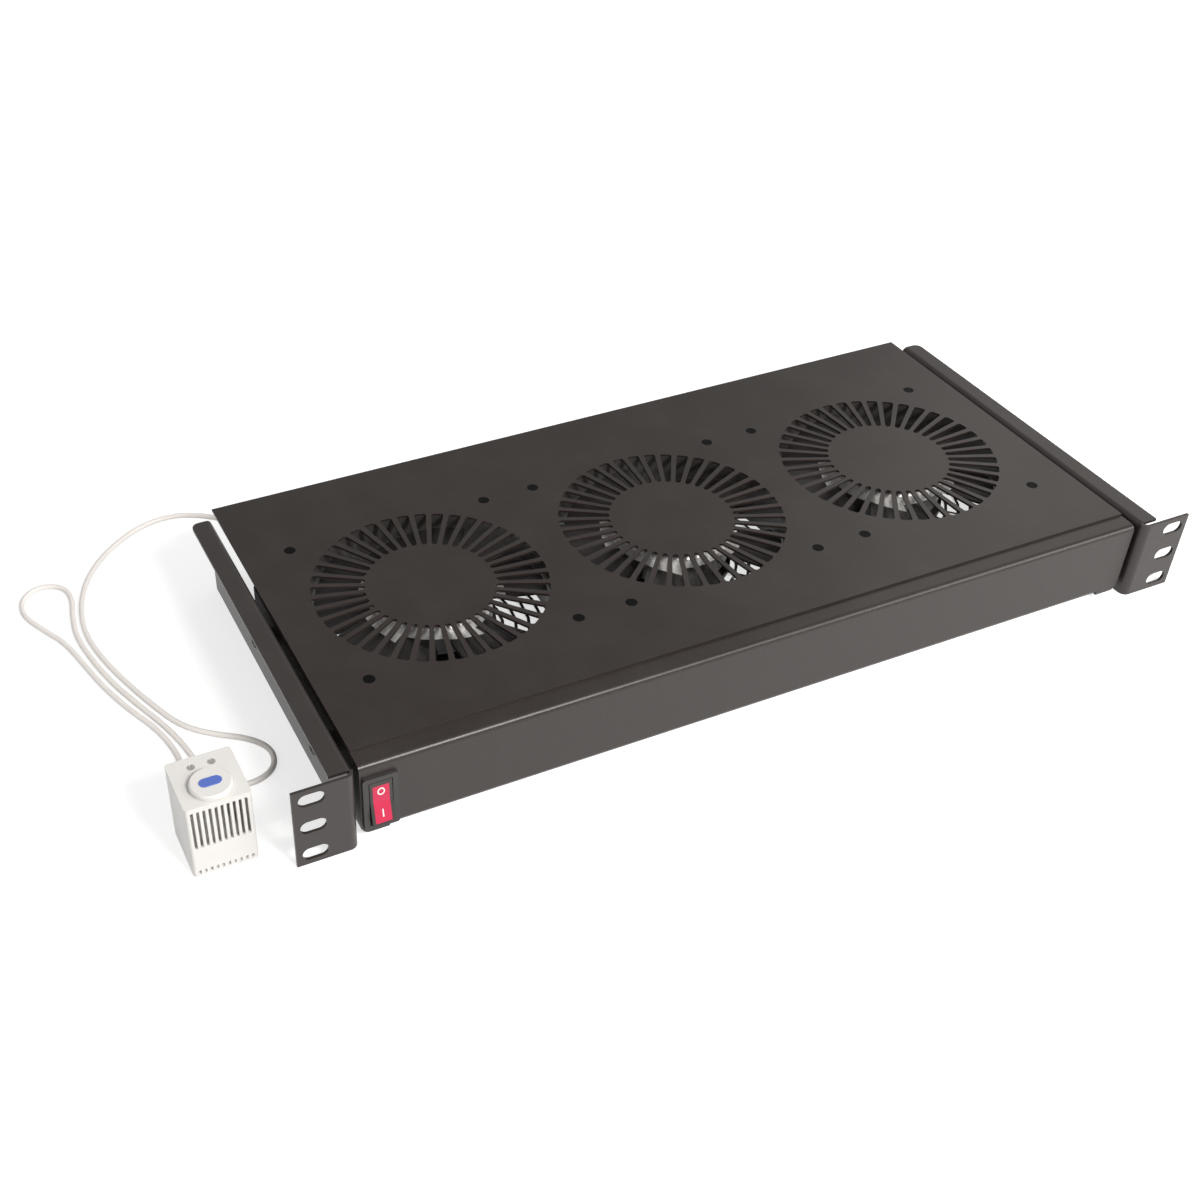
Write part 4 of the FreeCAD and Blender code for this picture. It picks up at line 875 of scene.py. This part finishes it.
# ---------------------------------------------------------------- lead of the thermostat
@dataclass
class ThermostatLead:
    """Round white lead, in loose strands between the tray and the thermostat.

    Its route's points are in millimetres; those of the run lie on the ground.
    """

    diameter: float = 2.8 * MM
    length: float = 769.0 * MM
    leaves: Point = (-175.0, 207.9, -1.8)
    lying: float = -20.4
    round_steps: int = 6
    steps: int = 10
    raised_start: Sequence[Point] = ((-176, 221, -3.4), (-180, 236, -13))
    run: Sequence[Tuple[float, float]] = (
        (-188, 250), (-200, 262), (-216, 270), (-234, 268), (-251, 258), (-266, 244), (-277, 227),
        (-283.5, 208), (-286, 188), (-283, 166), (-277, 144), (-269.5, 122), (-261.5, 103),
        (-249, 91), (-235.5, 82.5), (-227.5, 71), (-230.5, 58), (-243, 52.5), (-256, 57),
        (-261.5, 70), (-263.5, 88), (-268.5, 107), (-276, 126), (-283, 146), (-288, 168),
        (-290.5, 188), (-288.5, 205), (-285, 219), (-287, 231), (-298, 236.5), (-309, 229.5),
        (-311.5, 216), (-305, 201), (-297, 186), (-292.5, 167), (-288, 146), (-281, 125),
        (-272.5, 106), (-268.5, 88))
    raised_end: Sequence[Point] = ((-269, 72, -20), (-270, 57, -16.8), (-270, 42.5, -16.8))

    def build(self) -> bpy.types.Object:
        """Lay the lead along its route as one smooth curve.

        Returns:
            The lead.
        """
        route = [self.leaves, *self.raised_start, *((x, y, self.lying) for x, y in self.run),
                 *self.raised_end]
        data = bpy.data.curves.new("thermostat_lead", "CURVE")
        data.dimensions = "3D"
        data.bevel_depth = self.diameter / 2
        data.bevel_resolution = self.round_steps
        data.resolution_u = self.steps
        data.use_fill_caps = True
        spline = data.splines.new("NURBS")
        spline.points.add(len(route) - 1)
        for point, place in zip(spline.points, route):
            point.co = (place[0] * MM, place[1] * MM, place[2] * MM, 1.0)
        spline.order_u = 3
        spline.use_endpoint_u = True
        lead = bpy.data.objects.new("thermostat_lead", data)
        bpy.context.scene.collection.objects.link(lead)
        data.materials.append(finish_of("cable_white"))
        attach(lead, Body.TRAY.value)
        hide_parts("thermostat_cable")
        LOG.info("thermostat_lead")
        return lead


# ---------------------------------------------------------------- solids and their finishes
@dataclass
class TrayBox:
    """Sheet-metal box, brackets and their fasteners."""

    painted: Sequence[str] = ("top_plate", "front_panel", "side_rail_right", "side_rail_left",
                              "rear_panel")
    brackets: Sequence[str] = ("bracket_right", "bracket_left")
    plated: Sequence[str] = ("panel_studs", "panel_nuts", "bracket_spacers", "bracket_nuts",
                             "fan_nuts")
    blackened: Sequence[str] = ("bracket_screws", "fan_screws")

    def build(self) -> None:
        """Dress the box."""
        for nodes, finish in ((self.painted, "tray_paint"), (self.brackets, "bracket_paint"),
                              (self.plated, "zinc_steel"), (self.blackened, "black_steel")):
            for node in nodes:
                dress(node, finish)


@dataclass
class Fan:
    """One axial fan with its guard."""

    number: int
    finishes: Dict[str, str] = field(default_factory=lambda: {
        "fan_frame": "fan_casting", "stator": "stator_core", "rotor_hub": "rotor_steel",
        "rotor_blades": "blade_black", "finger_guard": "guard_wire"})

    def build(self) -> None:
        """Dress the fan."""
        for piece, finish in self.finishes.items():
            dress(f"{piece}_{self.number}", finish)


@dataclass
class Switch:
    """Rocker with a red lens in a black bezel, with a ring above and a bar below.

    Sizes are in millimetres, angles in degrees.
    """

    x: float = -201.0
    pivot_y: float = 5.1
    z: float = -1.1
    swing: float = 7.0
    half_height: float = 11.6
    dish_y: float = -4.4
    end_y: float = -5.6
    mark_rise: float = 5.9
    ring_radius: float = 1.75
    stroke: float = 0.62
    bar_length: float = 3.8
    bar_point: float = 0.12
    ring_steps: int = 40
    ring_stretch: float = 1.2
    proud: float = 0.05
    thickness: float = 0.15

    def on_face(self, u: float, w: float, upper: bool) -> Vector:
        """Place on the rocker's front, in metres.

        Args:
            u: Offset across, in millimetres.
            w: Height from the middle, in millimetres.
            upper: Whether the upper half's plane is meant.

        Returns:
            The place in the tray's frame at rest.
        """
        rise = abs(w) / self.half_height
        y = self.dish_y + (self.end_y - self.dish_y) * rise - self.proud
        turn = Matrix.Rotation(math.radians(-self.swing), 3, "X")
        pivot = Vector((self.x, self.pivot_y, self.z))
        return (turn @ Vector((u, y, w if upper else -abs(w))) + pivot) * MM

    def outline(self, mark: Mark) -> List[List[Tuple[float, float]]]:
        """Inner and outer outline of a mark, about its own middle.

        Args:
            mark: Which mark.

        Returns:
            Two lists of as many points.
        """
        if mark is Mark.OFF:
            turns = [math.tau * i / self.ring_steps for i in range(self.ring_steps)]
            inner = self.ring_radius - self.stroke
            return [[(r * math.cos(a), self.ring_stretch * r * math.sin(a)) for a in turns]
                    for r in (inner, self.ring_radius)]
        a, b = self.stroke / 2, self.bar_length / 2
        tip = b + self.bar_point
        outer = [(-a, -b), (0, -tip), (a, -b), (a, 0), (a, b), (0, tip), (-a, b), (-a, 0)]
        return [[(0.4 * u, 0.8 * w) for u, w in outer], outer]

    def mark(self, kind: Mark) -> None:
        """Print one mark on the rocker.

        Args:
            kind: Which mark.
        """
        upper = kind is Mark.OFF
        middle = self.mark_rise if upper else -self.mark_rise
        mesh = bmesh.new()
        rings = [[mesh.verts.new(self.on_face(u, middle + w, upper)) for u, w in ring]
                 for ring in self.outline(kind)]
        count = len(rings[0])
        for i in range(count):
            j = (i + 1) % count
            mesh.faces.new((rings[0][i], rings[0][j], rings[1][j], rings[1][i]))
        if kind is Mark.ON:
            mesh.faces.new(rings[0])
        sunk = bmesh.ops.extrude_face_region(mesh, geom=mesh.faces[:])["geom"]
        bmesh.ops.translate(mesh, vec=Vector((0, self.thickness * MM, 0)),
                            verts=[v for v in sunk if isinstance(v, bmesh.types.BMVert)])
        add_piece(f"rocker_mark_{kind.value}", mesh, "mark_white", Body.ROCKER)

    def build(self) -> None:
        """Dress the switch and print its marks."""
        dress("switch_body", "switch_black")
        dress("switch_rocker", "rocker_red")
        dress("switch_tabs", "brass_tabs")
        for kind in Mark:
            self.mark(kind)


@dataclass
class Electrics:
    """Inlet, terminals and grommet."""

    finishes: Dict[str, str] = field(default_factory=lambda: {
        "inlet_body": "switch_black", "inlet_pins": "brass_tabs",
        "terminal_block": "terminal_nylon", "cable_grommet": "grommet_rubber"})

    def build(self) -> None:
        """Dress the electrical pieces."""
        for node, finish in self.finishes.items():
            dress(node, finish)


@dataclass
class Thermostat:
    """White thermostat with a blue cap on its dial. Sizes are in millimetres."""

    shells: Sequence[str] = ("thermostat_base", "thermostat_cover", "thermostat_dial",
                             "cable_bush")
    x: float = -268.5
    dial_y: float = 21.0
    dial_top: float = 20.7
    cap_length: float = 10.0
    cap_width: float = 5.2
    cap_gap: float = 0.02
    cap_rise: float = 0.25
    cap_chamfer: float = 0.1
    arc_steps: int = 16
    tongue: Tuple[float, float, float] = (7.4, 1.3, 0.9)
    tongue_overlap: float = 0.1

    def cap(self) -> None:
        """Blue cap in the dial's screwdriver slot: a long field with a tongue under it."""
        radius = self.cap_width / 2
        reach = self.cap_length / 2 - radius
        turns = [math.pi * (i / self.arc_steps - 0.5) for i in range(self.arc_steps + 1)]
        right = [(reach + radius * math.cos(a), radius * math.sin(a)) for a in turns]
        line = right + [(-u, -v) for u, v in right]
        mesh = bmesh.new()
        rings = []
        for inset, height in ((0.0, self.cap_gap), (0.0, self.cap_rise - self.cap_chamfer),
                              (self.cap_chamfer, self.cap_rise)):
            along, across = 1 - 2 * inset / self.cap_length, 1 - 2 * inset / self.cap_width
            rings.append([mesh.verts.new(((self.x + u * along) * MM,
                                          (self.dial_y + v * across) * MM,
                                          (self.dial_top + height) * MM)) for u, v in line])
        count = len(line)
        for low, high in zip(rings, rings[1:]):
            for i in range(count):
                mesh.faces.new((low[i], low[(i + 1) % count], high[(i + 1) % count], high[i]))
        mesh.faces.new(rings[-1])
        mesh.faces.new(rings[0][::-1])
        long, wide, deep = (v * MM for v in self.tongue)
        low = (self.dial_top + self.tongue_overlap) * MM - deep / 2
        middle = Matrix.Translation(Vector((self.x * MM, self.dial_y * MM, low)))
        size = Matrix.Diagonal((long, wide, deep, 1.0))
        bmesh.ops.create_cube(mesh, size=1.0, matrix=middle @ size)
        add_piece("dial_cap", mesh, "dial_blue", Body.DIAL)

    def build(self) -> None:
        """Dress the thermostat and cap its dial."""
        for node in self.shells:
            dress(node, "thermostat_shell")
        dress("thermostat_screws", "clamp_steel")
        self.cap()


def main() -> None:
    """Build the camera and the lead, then the studio and every sub-assembly."""
    logging.basicConfig(level=logging.INFO, format="%(name)s: %(message)s")
    Viewpoint().build()
    ThermostatLead().build()
    Studio().build()
    TrayBox().build()
    for number in FAN_NUMBERS:
        Fan(number).build()
    Switch().build()
    Electrics().build()
    Thermostat().build()


if __name__ == "__main__":
    main()
